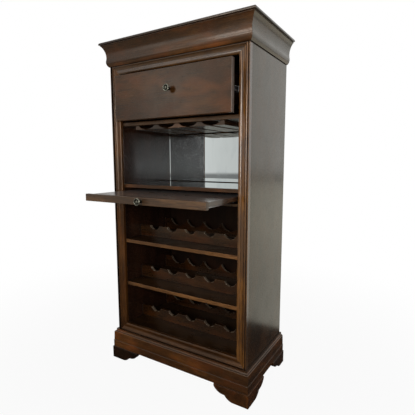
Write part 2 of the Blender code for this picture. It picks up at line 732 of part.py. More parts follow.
def build_side_slides(cabinet, carriage, drawer):
    """The drawer's slides: on each side an outer member, one that follows halfway and an inner."""
    nest = SLIDE_GAUGE + RACE_GAP
    start = DRAWER_RECESS + DRAWER_FRONT_THICK + SLIDE_PLAY
    outer_reach = HALF_OPENING - SEAT
    middle_reach = outer_reach - nest
    inner_reach = HALF_BOX + SEAT
    inner_flange = middle_reach - nest - inner_reach
    for side, sign in (("left", -1), ("right", 1)):
        inwards = X_AXIS * -sign
        slide_member("drawer_slide_outer_" + side, SIDE_SLIDE_HEIGHT, SIDE_SLIDE_FLANGE,
                     (sign * outer_reach, 0, DRAWER_AXIS_HEIGHT), inwards, Z_AXIS, start, cabinet)
        slide_member("drawer_slide_middle_" + side, SIDE_SLIDE_HEIGHT - 2 * nest, SIDE_SLIDE_FLANGE,
                     (sign * middle_reach, 0, DRAWER_AXIS_HEIGHT), inwards, Z_AXIS,
                     start - DRAWER_OPEN / 2, carriage)
        slide_member("drawer_slide_inner_" + side, SIDE_SLIDE_HEIGHT - 4 * nest, inner_flange,
                     (sign * inner_reach, 0, DRAWER_AXIS_HEIGHT), -inwards, Z_AXIS,
                     start - DRAWER_OPEN, drawer)


def build_flat_slides(cabinet, tray):
    """The tray's slides: near each side a lower member on the shelf and an upper one in it."""
    nest = SLIDE_GAUGE + RACE_GAP
    start = TRAY_RECESS + LIP_THICK + SLIDE_PLAY
    lower = TRAY_SHELF_TOP + SEAT
    upper = TRAY_BOTTOM - SEAT
    upper_flange = upper - lower - nest
    for side, sign in (("left", -1), ("right", 1)):
        x = sign * (HALF_TRAY - FLAT_SLIDE_INSET)
        slide_member("tray_slide_outer_" + side, FLAT_SLIDE_WIDTH, FLAT_SLIDE_FLANGE,
                     (x, 0, lower), Z_AXIS, X_AXIS, start, cabinet)
        slide_member("tray_slide_inner_" + side, FLAT_SLIDE_WIDTH - 2 * nest, upper_flange,
                     (x, 0, upper), -Z_AXIS, X_AXIS, start - TRAY_OPEN, tray)


def knob_profile():
    """The knob's half section: X from its axis, Z forwards from the face that it stands on."""
    dish = KNOB_LENGTH - KNOB_DISH_DEPTH
    button_edge = (KNOB_BUTTON_RADIUS, KNOB_LENGTH - KNOB_BUTTON_BULGE)
    rim_inside = (KNOB_RADIUS - KNOB_RIM, KNOB_LENGTH - KNOB_BUTTON_BULGE)
    rim_outside = (KNOB_RADIUS, KNOB_LENGTH - KNOB_RIM)
    head_back = (KNOB_NECK_RADIUS, KNOB_LENGTH - KNOB_HEAD_THICK)
    points = [(0.0, KNOB_LENGTH)]
    points += bow(points[0], button_edge, KNOB_BUTTON_BULGE / 4, 3)
    points += [(KNOB_BUTTON_RADIUS, dish)]
    points += bow((KNOB_BUTTON_RADIUS, dish), rim_inside, -KNOB_DISH_DEPTH / 4, 5)
    points += bow(rim_inside, rim_outside, KNOB_RIM_BULGE, 6)
    points += bow(rim_outside, head_back, KNOB_RIM_BULGE / 2, 5)
    points += bow(head_back, (KNOB_FOOT_RADIUS, KNOB_FOOT_THICK), -KNOB_NECK_SAG, 6)
    points += [(KNOB_FOOT_RADIUS, SEAT), (STUD_RADIUS, SEAT), (STUD_RADIUS, -STUD_LENGTH)]
    return points + [(0.0, -STUD_LENGTH)]


def build_knob(name, place, parent):
    """A turned knob with its stud, on a vertical face that looks forwards."""
    mesh = bpy.data.meshes.new(name)
    shape = bmesh.new()
    vertices = [shape.verts.new((x, 0.0, z)) for x, z in knob_profile()]
    for first, second in zip(vertices, vertices[1:]):
        shape.edges.new((first, second))
    shape.to_mesh(mesh)
    shape.free()
    obj = add_piece(name, mesh, place, facing(X_AXIS, Z_AXIS), ANTIQUE_BRASS, parent)
    screw = obj.modifiers.new("turned", "SCREW")
    screw.steps = ROUND_STEPS
    screw.render_steps = ROUND_STEPS
    screw.use_merge_vertices = True
    screw.merge_threshold = 0.00005


def drill_for_knob(obj, place, parent):
    """Drills the hole that takes a knob's stud, from the front face inwards."""
    mesh = bpy.data.meshes.new("stud_hole")
    shape = bmesh.new()
    radius = STUD_RADIUS + STUD_PLAY
    depth = 2 * (STUD_LENGTH + STUD_PLAY)
    turn = Matrix.Rotation(math.pi / 2, 4, "X")
    bmesh.ops.create_cone(shape, cap_ends=True, segments=ROUND_STEPS, radius1=radius,
                          radius2=radius, depth=depth, matrix=turn)
    shape.to_mesh(mesh)
    shape.free()
    cut(obj, mesh, place, parent)


def box_side_outline():
    """A drawer side from the front: X from its outer face inwards, Y up, with the floor's groove."""
    low = BOX_BOTTOM_RAISE
    high = low + BOX_BOTTOM_THICK + BOX_GROOVE_PLAY
    groove = BOX_WALL - BOX_GROOVE
    return [
        (0.0, 0.0), (BOX_WALL, 0.0), (BOX_WALL, low), (groove, low), (groove, high),
        (BOX_WALL, high), (BOX_WALL, BOX_HEIGHT), (0.0, BOX_HEIGHT),
    ]


def build_drawer(cabinet):
    """The drawer, as it stands a little open, with its slides and its knob."""
    axis = (0.0, -DRAWER_OPEN, DRAWER_AXIS_HEIGHT)
    drawer = carrier("drawer", axis, cabinet)
    carriage = carrier("drawer_carriage", (0.0, -DRAWER_OPEN / 2, DRAWER_AXIS_HEIGHT), cabinet)
    face = DRAWER_RECESS - DRAWER_OPEN
    rear = face + DRAWER_FRONT_THICK
    half = HALF_OPENING - DRAWER_SIDE_GAP
    front = board("drawer_front", (-half, half), (face, rear),
                  (DRAWER_FRONT_BOTTOM, DRAWER_FRONT_TOP), STAIN, drawer, EASE, 2)
    knob_place = (KNOB_OFFSET, face, DRAWER_FRONT_TOP - DRAWER_KNOB_DROP)
    build_knob("drawer_knob", knob_place, drawer)
    drill_for_knob(front, knob_place, drawer)
    box_front = rear + SEAT
    box_middle = box_front + BOX_LENGTH / 2
    for side, sign in (("left", -1), ("right", 1)):
        mesh = outline_mesh("drawer_side", box_side_outline(), BOX_LENGTH)
        if sign > 0:
            mesh.transform(Matrix.Diagonal((-1, 1, 1, 1)))
            mesh.flip_normals()
        add_piece("drawer_side_" + side, mesh, (sign * HALF_BOX, box_middle, BOX_BOTTOM),
                  facing(X_AXIS, Z_AXIS), INSIDE_STAIN, drawer)
    inner_half = HALF_BOX - BOX_WALL - SEAT
    box_rear = box_front + BOX_LENGTH
    floor_low = BOX_BOTTOM + BOX_BOTTOM_RAISE + BOX_GROOVE_PLAY / 2
    floor_top = floor_low + BOX_BOTTOM_THICK
    board("drawer_back", (-inner_half, inner_half), (box_rear - BOX_WALL, box_rear),
          (floor_top + SEAT, BOX_BOTTOM + BOX_HEIGHT), INSIDE_STAIN, drawer)
    floor_half = HALF_BOX - BOX_WALL + BOX_GROOVE - BOX_GROOVE_PLAY
    board("drawer_bottom", (-floor_half, floor_half), (box_front, box_rear),
          (floor_low, floor_top), INSIDE_STAIN, drawer, EASE / 4)
    build_side_slides(cabinet, carriage, drawer)


def build_tray(cabinet):
    """The pull-out tray, as it stands open, with its front lip, its slides and its knob."""
    tray = carrier("tray", (0.0, -TRAY_OPEN, TRAY_AXIS_HEIGHT), cabinet)
    face = TRAY_RECESS - TRAY_OPEN
    rear = face + LIP_THICK
    half = HALF_OPENING - LIP_SIDE_GAP
    lip = board("tray_lip", (-half, half), (face, rear), (LIP_BOTTOM, LIP_BOTTOM + LIP_HEIGHT),
                STAIN, tray, EASE, 2)
    knob_place = (KNOB_OFFSET, face, LIP_BOTTOM + LIP_HEIGHT / 2)
    build_knob("tray_knob", knob_place, tray)
    drill_for_knob(lip, knob_place, tray)
    board("tray_board", (-HALF_TRAY, HALF_TRAY), (rear + SEAT, rear + SEAT + TRAY_LENGTH),
          (TRAY_BOTTOM, TRAY_BOTTOM + TRAY_THICK), STAIN, tray)
    build_flat_slides(cabinet, tray)


clear_scene()
PARTS = new_collection("bar_cabinet")
CUTTERS = new_collection("cutters")
CABINET = carrier("cabinet", (0.0, 0.0, 0.0))
CABINET.location.y = CABINET_SHIFT
build_base(CABINET)
build_face_frame(CABINET)
build_sides(CABINET)
build_shelves(CABINET)
build_mirrors(CABINET)
build_wine_racks(CABINET)
build_stem_rack(CABINET)
build_crown(CABINET)
build_drawer(CABINET)
build_tray(CABINET)
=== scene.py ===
"""A tall bar cabinet of dark stained wood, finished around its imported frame.

Each sub-assembly is a class. It reads where its pieces stand from the frame, makes finer pieces
with their own grain, lacquer and worn edges, and says which bodies they ride on. All sizes are
in metres: X runs to the right, Y to the back and Z up.
"""

import logging
import math
from collections.abc import Callable, Iterator, Sequence
from dataclasses import dataclass, field, replace
from enum import Enum, IntEnum

import bmesh
import bpy
from mathutils import Euler, Matrix, Vector


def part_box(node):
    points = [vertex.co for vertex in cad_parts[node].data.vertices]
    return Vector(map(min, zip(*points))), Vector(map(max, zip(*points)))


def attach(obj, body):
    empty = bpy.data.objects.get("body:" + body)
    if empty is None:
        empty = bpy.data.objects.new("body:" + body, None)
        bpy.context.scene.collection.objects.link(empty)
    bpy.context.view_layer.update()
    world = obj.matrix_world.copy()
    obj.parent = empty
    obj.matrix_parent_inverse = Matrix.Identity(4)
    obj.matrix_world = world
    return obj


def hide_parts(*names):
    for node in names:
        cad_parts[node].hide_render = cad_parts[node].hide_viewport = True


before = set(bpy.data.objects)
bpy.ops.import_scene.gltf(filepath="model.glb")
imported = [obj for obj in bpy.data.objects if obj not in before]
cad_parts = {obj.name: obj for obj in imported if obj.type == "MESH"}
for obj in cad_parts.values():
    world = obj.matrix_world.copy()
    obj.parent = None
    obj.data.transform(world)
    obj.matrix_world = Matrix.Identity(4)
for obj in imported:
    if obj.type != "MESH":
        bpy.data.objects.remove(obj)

LOG = logging.getLogger("bar_cabinet")
# The width of the picture in pixels, for which the camera's focal length is known.
IMAGE_SIZE = 415
# The play between a moulding and its neighbour.
SEAT = 0.0003
# How near two corners lie that are one.
WELD = 0.00001
# The rise of a quarter circle over its chord, for a radius of 1.
ROUND = (math.sqrt(2) - 1) / math.sqrt(2)
# How much of a face's normal lies along an axis that the face looks along.
SQUARE = 0.9

Point = tuple[float, float]
Colour = tuple[float, float, float]
Span = tuple[float, float]
Place = tuple[float, float, float]
Face = bpy.types.MeshPolygon
Material = bpy.types.Material
Mesh = bpy.types.Mesh
Node = bpy.types.Node
Outputs = bpy.types.NodeOutputs
Socket = bpy.types.NodeSocket
Tree = bpy.types.NodeTree
Value = float | int | bool | Sequence[float] | Socket | Material

WHITE = (1.0, 1.0, 1.0)
X_AXIS = Vector((1, 0, 0))
Y_AXIS = Vector((0, 1, 0))
Z_AXIS = Vector((0, 0, 1))


class Body(Enum):
    """The bodies that the new pieces ride on."""

    CABINET = "cabinet"
    DRAWER = "drawer"
    TRAY = "tray"


class Grain(Enum):
    """The direction that the grain runs in, as the turn that brings the pattern's X onto it."""

    ALONG_X = (0.0, 0.0, 0.0)
    ALONG_Y = (0.0, 0.0, -math.pi / 2)
    ALONG_Z = (0.0, math.pi / 2, 0.0)


class Slot(Enum):
    """The record's material slots, one named for each new piece."""

    STAIN = "stain"
    INSIDE = "inside_stain"
    MIRROR = "silvered_glass"
    BRASS = "antique_brass"


class Coating(IntEnum):
    """The places of a moulding's finishes in its list of materials."""

    WOOD = 0
    # Dark glaze with painted shade in the frame's quirks and groove, and painted shadow under the crown.
    GLAZE = 1
    # Paler wood just above the crown's lower edge.
    WORN = 2


class Graph:
    """A node tree under construction, with short calls that add and join its nodes."""

    def __init__(self, tree: Tree) -> None:
        """Wraps a tree."""
        self.tree = tree

    def add(self, kind: str, inputs: dict[str | int, Value] | None = None, **settings: object) -> Node:
        """Adds a node, sets it and joins its inputs.

        Args:
            kind: The node's type name.
            inputs: A value or an output socket for each input, by name or place.
            **settings: The node's own properties.

        Returns:
            The new node.
        """
        node = self.tree.nodes.new(kind)
        for key, value in settings.items():
            setattr(node, key, value)
        self.fill(node, inputs or {})
        return node

    def out(self, kind: str, inputs: dict[str | int, Value] | None = None, output: str | int = 0,
            **settings: object) -> Socket:
        """Adds a node and gives one of its outputs: the first, unless another is named."""
        return self.add(kind, inputs, **settings).outputs[output]

    def fill(self, node: Node, inputs: dict[str | int, Value]) -> None:
        """Sets or joins some of a node's inputs, by name or place."""
        for key, value in inputs.items():
            self.give(node.inputs[key], value)

    def give(self, socket: Socket, value: Value) -> None:
        """Joins an output to a socket, or sets the socket's value.

        Args:
            socket: The input socket.
            value: An output socket or a plain value. A colour has three levels.
        """
        if isinstance(value, bpy.types.NodeSocket):
            self.tree.links.new(value, socket)
        elif socket.type == "RGBA":
            socket.default_value = (*value, 1.0)
        else:
            socket.default_value = value

    def math(self, operation: str, first: Value, *others: Value, clamp: bool = False) -> Socket:
        """Joins two or more values with a math operation, one after the other.

        Args:
            operation: The operation.
            first: The first value.
            *others: The other values.
            clamp: Whether each result stays between 0 and 1.

        Returns:
            The result.
        """
        for other in others:
            first = self.out("ShaderNodeMath", {0: first, 1: other}, operation=operation, use_clamp=clamp)
        return first

    def spread(self, value: Value, low: float, high: float, to_low: float = 0.0,
               to_high: float = 1.0) -> Socket:
        """Maps the range from low to high smoothly onto the one from to_low to to_high."""
        inputs = {"Value": value, "From Min": low, "From Max": high, "To Min": to_low, "To Max": to_high}
        return self.out("ShaderNodeMapRange", inputs, interpolation_type="SMOOTHSTEP")

    def blend(self, factor: Value, first: Value, second: Value) -> Socket:
        """Mixes two colours, with a factor that is the second one's share."""
        inputs = {0: factor, 6: first, 7: second}
        return self.out("ShaderNodeMix", inputs, 2, data_type="RGBA", clamp_factor=True)

    def choose(self, factor: Value, first: Value, second: Value) -> Socket:
        """Mixes two numbers, with a factor that is the second one's share."""
        return self.out("ShaderNodeMix", {0: factor, 2: first, 3: second}, data_type="FLOAT")

    def noise(self, vector: Value, scale: float, detail: float, distortion: float = 0.0) -> Socket:
        """Adds a noise with so many features to the metre, finer layers and twists."""
        inputs = {"Vector": vector, "Scale": scale, "Detail": detail, "Distortion": distortion}
        return self.out("ShaderNodeTexNoise", inputs)

    def stretched(self, vector: Value, scale: Sequence[float]) -> Socket:
        """Multiplies a pattern's coordinates."""
        return self.out("ShaderNodeMapping", {"Vector": vector, "Scale": scale})

    def bumped(self, height: Socket, relief: float, normal: Socket) -> Socket:
        """Turns a height into a normal, on top of another normal."""
        inputs = {"Strength": 1.0, "Distance": relief, "Height": height, "Normal": normal}
        return self.out("ShaderNodeBump", inputs)


def new_group(name: str, kind: str, inputs: dict[str, str | float | int],
              outputs: dict[str, str]) -> tuple[Graph, Outputs, Node]:
    """Makes an empty node group with named sockets.

    Args:
        name: The group's name.
        kind: What it is for: Shader or Geometry.
        inputs: The kind of each input, or the default of one that is a number.
        outputs: The kind of each output.

    Returns:
        The graph, what the group is given and its output node.
    """
    tree = bpy.data.node_groups.new(name, f"{kind}NodeTree")
    for label, content in inputs.items():
        plain = isinstance(content, str)
        socket_type = f"NodeSocket{content if plain else type(content).__name__.title()}"
        socket = tree.interface.new_socket(name=label, in_out="INPUT", socket_type=socket_type)
        if not plain:
            socket.default_value = content
    for label, content in outputs.items():
        tree.interface.new_socket(name=label, in_out="OUTPUT", socket_type=f"NodeSocket{content}")
    graph = Graph(tree)
    return graph, graph.add("NodeGroupInput").outputs, graph.add("NodeGroupOutput")


@dataclass(frozen=True)
class Figure:
    """A layer of the wood's figure: a noise that is drawn out along the grain and then sharpened."""

    grain_scale: float
    scale: float
    detail: float
    span: Span
    distortion: float = 0.0

    def draw(self, graph: Graph, vector: Socket) -> Socket:
        """Draws the layer in a group whose X runs along the grain."""
        drawn_out = graph.stretched(vector, (self.grain_scale, 1.0, 1.0))
        return graph.spread(graph.noise(drawn_out, self.scale, self.detail, self.distortion), *self.span)


FIGURES = {
    "Bands": Figure(0.12, 42.0, 5.0, (0.26, 0.74), 0.6),
    "Streaks": Figure(0.080, 300.0, 4.0, (0.32, 0.68)),
    "Pores": Figure(0.060, 1150.0, 1.0, (0.60, 0.72)),
    "Clouds": Figure(0.40, 12.0, 4.0, (0.32, 0.68), 0.4),
    "Blush": Figure(0.55, 19.0, 6.0, (0.40, 0.72), 0.2),
}


@dataclass
class Effects:
    """The shader node groups that the finishes share, each built once."""

    edge_samples: int = 4
    rubbed_samples: int = 6
    glaze_samples: int = 8
    breakup_scale: float = 90.0
    breakup_span: Span = (0.35, 0.65)
    least_rubbed: float = 0.25
    rubbed_span: Span = (0.55, 0.95)
    glaze_span: Span = (0.35, 0.90)
    peel_scale: float = 150.0
    peel_height: float = 0.35
    wipe_scale: float = 14.0
    wipe_span: Span = (0.35, 0.65)
    wipe_gloss: Span = (-0.03, 0.05)
    pore_dulling: float = 0.14
    pore_depth: float = -0.55
    streak_height: float = 0.30

    def __post_init__(self) -> None:
        """Builds the groups."""
        self.figure = self._wood_figure()
        self.ageing = self._ageing()
        self.lacquer = self._lacquer()

    def _wood_figure(self) -> Tree:
        """Builds the wood's figure.

        Returns:
            A group that puts out bands, streaks, pores, cloudy patches and redder patches.
        """
        outputs = {name: "Float" for name in FIGURES}
        graph, given, end = new_group("wood figure", "Shader", {"Vector": "Vector"}, outputs)
        for name, figure in FIGURES.items():
            graph.give(end.inputs[name], figure.draw(graph, given["Vector"]))
        return graph.tree

    def _ageing(self) -> Tree:
        """Builds the rubbed edges, and the glaze with painted shade that darkens corners and the joins
        between pieces.

        Returns:
            A group that puts out the two masks and a normal that rounds sharp edges.
        """
        inputs = {"Vector": "Vector", "Edge Width": 0.0012, "Corner Width": 0.006}
        outputs = {"Rubbed": "Float", "Glaze": "Float", "Normal": "Vector"}
        graph, given, end = new_group("ageing", "Shader", inputs, outputs)
        rounded = graph.out("ShaderNodeBevel", {"Radius": given["Edge Width"]}, samples=self.edge_samples)
        inner = graph.out("ShaderNodeAmbientOcclusion", {"Distance": given["Edge Width"]}, "AO",
                          samples=self.rubbed_samples, inside=True, only_local=True)
        # The outer occlusion darkens corners, also those against other pieces: painted shade, laid on as the
        # glaze.
        outer = graph.out("ShaderNodeAmbientOcclusion", {"Distance": given["Corner Width"]}, "AO",
                          samples=self.glaze_samples, inside=False, only_local=False)
        noise = graph.noise(given["Vector"], self.breakup_scale, 4.0)
        breakup = graph.spread(noise, *self.breakup_span, self.least_rubbed, 1.0)
        graph.fill(end, {
            "Rubbed": graph.math("MULTIPLY", graph.spread(inner, *self.rubbed_span, 1.0, 0.0), breakup),
            "Glaze": graph.spread(outer, *self.glaze_span, 1.0, 0.0),
            "Normal": rounded,
        })
        return graph.tree

    def _lacquer(self) -> Tree:
        """Builds the lacquer's surface.

        Returns:
            A group that puts out a roughness and a height from the wood under the lacquer.
        """
        inputs = {"Vector": "Vector", "Streaks": 0.0, "Pores": 0.0, "Gloss": 0.3}
        outputs = {"Roughness": "Float", "Height": "Float"}
        graph, given, end = new_group("lacquer", "Shader", inputs, outputs)
        peel = graph.math("MULTIPLY", graph.noise(given["Vector"], self.peel_scale, 2.0), self.peel_height)
        wiping = graph.noise(given["Vector"], self.wipe_scale, 3.0)
        wipes = graph.spread(wiping, *self.wipe_span, *self.wipe_gloss)
        dull = graph.math("MULTIPLY", given["Pores"], self.pore_dulling)
        sunk = graph.math("MULTIPLY", given["Pores"], self.pore_depth)
        ridge = graph.math("MULTIPLY", given["Streaks"], self.streak_height)
        graph.fill(end, {
            "Roughness": graph.math("ADD", given["Gloss"], wipes, dull),
            "Height": graph.math("ADD", sunk, ridge, peel),
        })
        return graph.tree


EFFECTS = Effects()


def new_material(name: str) -> tuple[Material, Graph, Node]:
    """Makes a material with a Principled shader.

    Args:
        name: The material's name.

    Returns:
        The material, its graph and its shader.
    """
    material = bpy.data.materials.new(name)
    material.use_nodes = True
    return material, Graph(material.node_tree), material.node_tree.nodes["Principled BSDF"]


def object_coordinates(graph: Graph, turn: Sequence[float] = (0, 0, 0),
                       shift: Sequence[float] = (0, 0, 0)) -> Socket:
    """Reads the piece's own coordinates, turned in radians and then shifted."""
    own = graph.out("ShaderNodeTexCoord", output="Object")
    return graph.out("ShaderNodeMapping", {"Vector": own, "Rotation": turn, "Location": shift})


@dataclass(frozen=True)
class StainedWood:
    """Close-grained wood under a dark stain, a glaze and a satin lacquer, with shade painted into its
    corners.
    """

    name: str
    dark: Colour = (0.0130, 0.0052, 0.0021)
    warm: Colour = (0.0820, 0.0285, 0.0062)
    light: Colour = (0.1600, 0.0620, 0.0140)
    blush: Colour = (0.1500, 0.0420, 0.0095)
    rubbed: Colour = (0.1700, 0.0760, 0.0280)
    # The glaze's colour fills the pores, and it is also the painted shade in corners and joins.
    glaze: Colour = (0.0060, 0.0030, 0.0020)
    sheen_tint: Colour = (1.0, 0.84, 0.67)
    refraction: float = 1.47
    gloss: float = 0.22
    coat: float = 0.10
    coat_roughness: float = 0.12
    relief: float = 0.00006
    edge_width: float = 0.0012
    corner_width: float = 0.006
    wear: float = 0.40
    glaze_strength: float = 0.90
    glaze_dulling: float = 0.50
    flush: float = 0.75
    haze: float = 0.0
    warmth: Span = (0.28, 0.88)
    streaking: float = 0.40
    clouding: float = 0.62
    pore_filling: float = 0.45
    board_shift: Place = (1.37, 0.83, 0.59)

    def material(self, grain: Grain, board: int = 0, tone: float = 1.0) -> Material:
        """Makes the finish for one board.

        Args:
            grain: The direction of the grain.
            board: The board's number, which picks its place in the pattern.
            tone: How pale the board is: its stain, and on some boards painted light and shade.

        Returns:
            The material.
        """
        label = f"{self.name}_{grain.name.lower()}_{board}_{round(100 * tone)}"
        known = bpy.data.materials.get(label)
        if known:
            return known
        material, graph, shader = new_material(label)
        vector = object_coordinates(graph, grain.value, [step * board for step in self.board_shift])
        figure = graph.add("ShaderNodeGroup", {"Vector": vector}, node_tree=EFFECTS.figure).outputs
        inputs = {"Vector": vector, "Edge Width": self.edge_width, "Corner Width": self.corner_width}
        ageing = graph.add("ShaderNodeGroup", inputs, node_tree=EFFECTS.ageing).outputs
        inputs = {"Vector": vector, "Streaks": figure["Streaks"], "Pores": figure["Pores"],
                  "Gloss": self.gloss}
        lacquer = graph.add("ShaderNodeGroup", inputs, node_tree=EFFECTS.lacquer).outputs
        rough = graph.math("ADD", lacquer["Roughness"],
                           graph.math("MULTIPLY", ageing["Glaze"], self.glaze_dulling), clamp=True)
        graph.fill(shader, {
            "Base Color": self.colour(graph, figure, ageing, tone),
            "Roughness": rough,
            "Normal": graph.bumped(lacquer["Height"], self.relief, ageing["Normal"]),
            "IOR": self.refraction,
            "Specular Tint": self.sheen_tint,
            "Coat Weight": self.coat,
            "Coat Roughness": self.coat_roughness,
            "Sheen Weight": self.haze,
        })
        return material

    def colour(self, graph: Graph, figure: Outputs, ageing: Outputs, tone: float) -> Socket:
        """Lays the stains, the glaze, the painted shade in corners and the wear on the wood.

        Args:
            graph: The material's graph.
            figure: What the group with the wood's figure puts out.
            ageing: What the group with the ageing and the painted shade puts out.
            tone: How pale the board is: its stain, and on some boards painted light and shade.

        Returns:
            The colour.
        """
        stains = (self.dark, self.warm, self.light, self.blush)
        dark, warm, light, blush = ([level * tone for level in stain] for stain in stains)
        layers = (
            (graph.spread(figure["Bands"], 0.0, 1.0, *self.warmth), warm),
            (graph.math("MULTIPLY", figure["Streaks"], self.streaking), light),
            (graph.math("MULTIPLY", figure["Blush"], self.flush), blush),
            (graph.spread(figure["Clouds"], 0.0, 1.0, self.clouding, 0.0), dark),
            (graph.math("MULTIPLY", figure["Pores"], self.pore_filling), self.glaze),
            # Painted shade: corners and joins darken to the glaze's colour.
            (graph.math("MULTIPLY", ageing["Glaze"], self.glaze_strength), self.glaze),
            (graph.math("MULTIPLY", ageing["Rubbed"], self.wear), self.rubbed),
        )
        colour: Value = dark
        for share, stain in layers:
            colour = graph.blend(share, colour, stain)
        return colour


@dataclass(frozen=True)
class SilveredGlass:
    """A silvered mirror with the faintest wipe marks."""

    name: str = "silvered_mirror"
    tint: Colour = (0.70, 0.745, 0.73)
    smear_tint: Colour = (0.64, 0.69, 0.68)
    smear_span: Span = (0.45, 0.75)
    wipe_stretch: Place = (1.0, 1.0, 0.35)
    wipe_scale: float = 16.0
    wipe_span: Span = (0.40, 0.80)
    roughness: Span = (0.012, 0.070)

    def material(self) -> Material:
        """Makes the finish.

        Returns:
            The material.
        """
        material, graph, shader = new_material(self.name)
        vector = graph.stretched(object_coordinates(graph), self.wipe_stretch)
        wipes = graph.noise(vector, self.wipe_scale, 4.0, 0.8)
        graph.fill(shader, {
            "Base Color": graph.blend(graph.spread(wipes, *self.smear_span), self.tint, self.smear_tint),
            "Roughness": graph.spread(wipes, *self.wipe_span, *self.roughness),
            "Metallic": 1.0,
        })
        return material


@dataclass(frozen=True)
class AgedMetal:
    """A metal with rubbed high spots and dark patina in its hollows."""

    name: str
    rubbed: Colour
    body: Colour
    patina: Colour
    roughness: float
    edge_width: float = 0.0009
    corner_width: float = 0.0035
    stretch: Place = (1.0, 1.0, 1.0)
    scale: float = 260.0
    relief: float = 0.00005
    patina_span: Span = (0.35, 0.70)
    patina_share: float = 0.75
    mark_span: Span = (0.3, 0.7)
    smoother: float = 0.08
    rougher: float = 0.10

    def material(self) -> Material:
        """Makes the finish.

        Returns:
            The material.
        """
        material, graph, shader = new_material(self.name)
        vector = object_coordinates(graph)
        inputs = {"Vector": vector, "Edge Width": self.edge_width, "Corner Width": self.corner_width}
        ageing = graph.add("ShaderNodeGroup", inputs, node_tree=EFFECTS.ageing).outputs
        marks = graph.noise(graph.stretched(vector, self.stretch), self.scale, 4.0)
        colour = graph.blend(graph.spread(marks, *self.patina_span, 0.0, self.patina_share),
                             self.body, self.patina)
        colour = graph.blend(ageing["Glaze"], colour, self.patina)
        graph.fill(shader, {
            "Base Color": graph.blend(ageing["Rubbed"], colour, self.rubbed),
            "Roughness": graph.spread(marks, *self.mark_span, self.roughness - self.smoother,
                                      self.roughness + self.rougher),
            "Normal": graph.bumped(marks, self.relief, ageing["Normal"]),
            "Metallic": 1.0,
        })
        return material


OUTSIDE = StainedWood("outside_wood")
# Darker than the outside wood: a stain of its own, and painted shade for the dim inside.
INSIDE = StainedWood(
    "inside_wood",
    dark=(0.0075, 0.0034, 0.0021),
    warm=(0.0240, 0.0098, 0.0050),
    light=(0.0400, 0.0180, 0.0090),
    blush=(0.0300, 0.0100, 0.0050),
    rubbed=(0.0600, 0.0310, 0.0170),
    sheen_tint=(0.88, 0.94, 1.0),
    refraction=1.65,
    gloss=0.14,
    coat=0.35,
    coat_roughness=0.08,
)
LIP = StainedWood("lip_wood", warm=(0.0760, 0.0350, 0.0130), light=(0.1500, 0.0760, 0.0320),
                  sheen_tint=(1.0, 0.92, 0.78), gloss=0.40, coat=0.30, coat_roughness=0.34, flush=0.0)
TRAY_TOP = StainedWood("tray_wood", sheen_tint=(1.0, 0.94, 0.86), gloss=0.30, coat=0.55, coat_roughness=0.16,
                       flush=0.0, haze=0.03)
RAIL = StainedWood("rail_wood", relief=0.00003)
# Painted highlight: the notch faces that look up are pale.
NOTCH_HIGHLIGHT = StainedWood(
    "notch_wood",
    dark=(0.1000, 0.0700, 0.0480),
    warm=(0.2600, 0.1950, 0.1350),
    light=(0.3600, 0.2800, 0.2000),
    flush=0.0,
    relief=0.00003,
    glaze_strength=0.20,
)
FRAMING = StainedWood("framing_wood", refraction=1.36, coat=0.0, flush=0.15, corner_width=0.010,
                      glaze_strength=1.0)
GLEAMING = StainedWood("gleaming_wood", warm=(0.0860, 0.0328, 0.0060), light=(0.1700, 0.0705, 0.0135),
                       sheen_tint=(0.98, 0.91, 0.80), flush=0.0, coat=0.75, coat_roughness=0.20,
                       corner_width=0.010)
# Painted shade, with the glaze: a near-black finish for the frame's quirks and groove and the crown's
# underside.
PAINTED_SHADE_AND_GLAZE = StainedWood(
    "packed_glaze",
    dark=(0.0040, 0.0026, 0.0018),
    warm=(0.0120, 0.0072, 0.0048),
    light=(0.0220, 0.0130, 0.0085),
    blush=(0.0180, 0.0090, 0.0050),
    rubbed=(0.0300, 0.0170, 0.0100),
    refraction=1.15,
    gloss=0.55,
    coat=0.0,
)
# Painted reflection: the drawer front's end is grey, as if it mirrored the lit bead beside it.
END_REFLECTION = StainedWood(
    "worn_end_wood",
    dark=(0.1000, 0.0850, 0.0750),
    warm=(0.2000, 0.1700, 0.1500),
    light=(0.2600, 0.2200, 0.1900),
    flush=0.0,
    glaze_strength=0.30,
)
SHELF = StainedWood("shelf_wood", warm=(0.0780, 0.0310, 0.0085), light=(0.1500, 0.0700, 0.0230),
                    relief=0.00001, flush=0.0, coat=0.0, gloss=0.30)
SIDE = StainedWood("side_wood", sheen_tint=(0.94, 0.88, 0.55), coat=0.25, relief=0.00003, flush=0.10,
                   blush=(0.1900, 0.0520, 0.0095))
# The back takes the inside wood's darker colours, painted shade included.
BACKING = replace(INSIDE, name="backing_wood", sheen_tint=OUTSIDE.sheen_tint, refraction=1.20, gloss=0.55,
                  coat=0.0, coat_roughness=OUTSIDE.coat_roughness)
RAIL_END = StainedWood(
    "rail_end_wood",
    flush=0.10,
    wear=0.15,
    dark=(0.0300, 0.0125, 0.0060),
    warm=(0.1150, 0.0450, 0.0170),
    light=(0.1800, 0.0800, 0.0330),
)
MIRROR = SilveredGlass()
BRASS = AgedMetal("aged_brass", (0.70, 0.68, 0.55), (0.260, 0.255, 0.200), (0.022, 0.022, 0.018), 0.24,
                  corner_width=0.0060)
DISH = AgedMetal("dish_brass", (0.120, 0.118, 0.092), (0.042, 0.041, 0.032), (0.014, 0.014, 0.011), 0.42)
STEEL = AgedMetal("dark_zinc", (0.60, 0.60, 0.60), (0.340, 0.340, 0.350), (0.200, 0.200, 0.210), 0.38,
                  stretch=(1.0, 0.03, 1.0), scale=900.0)


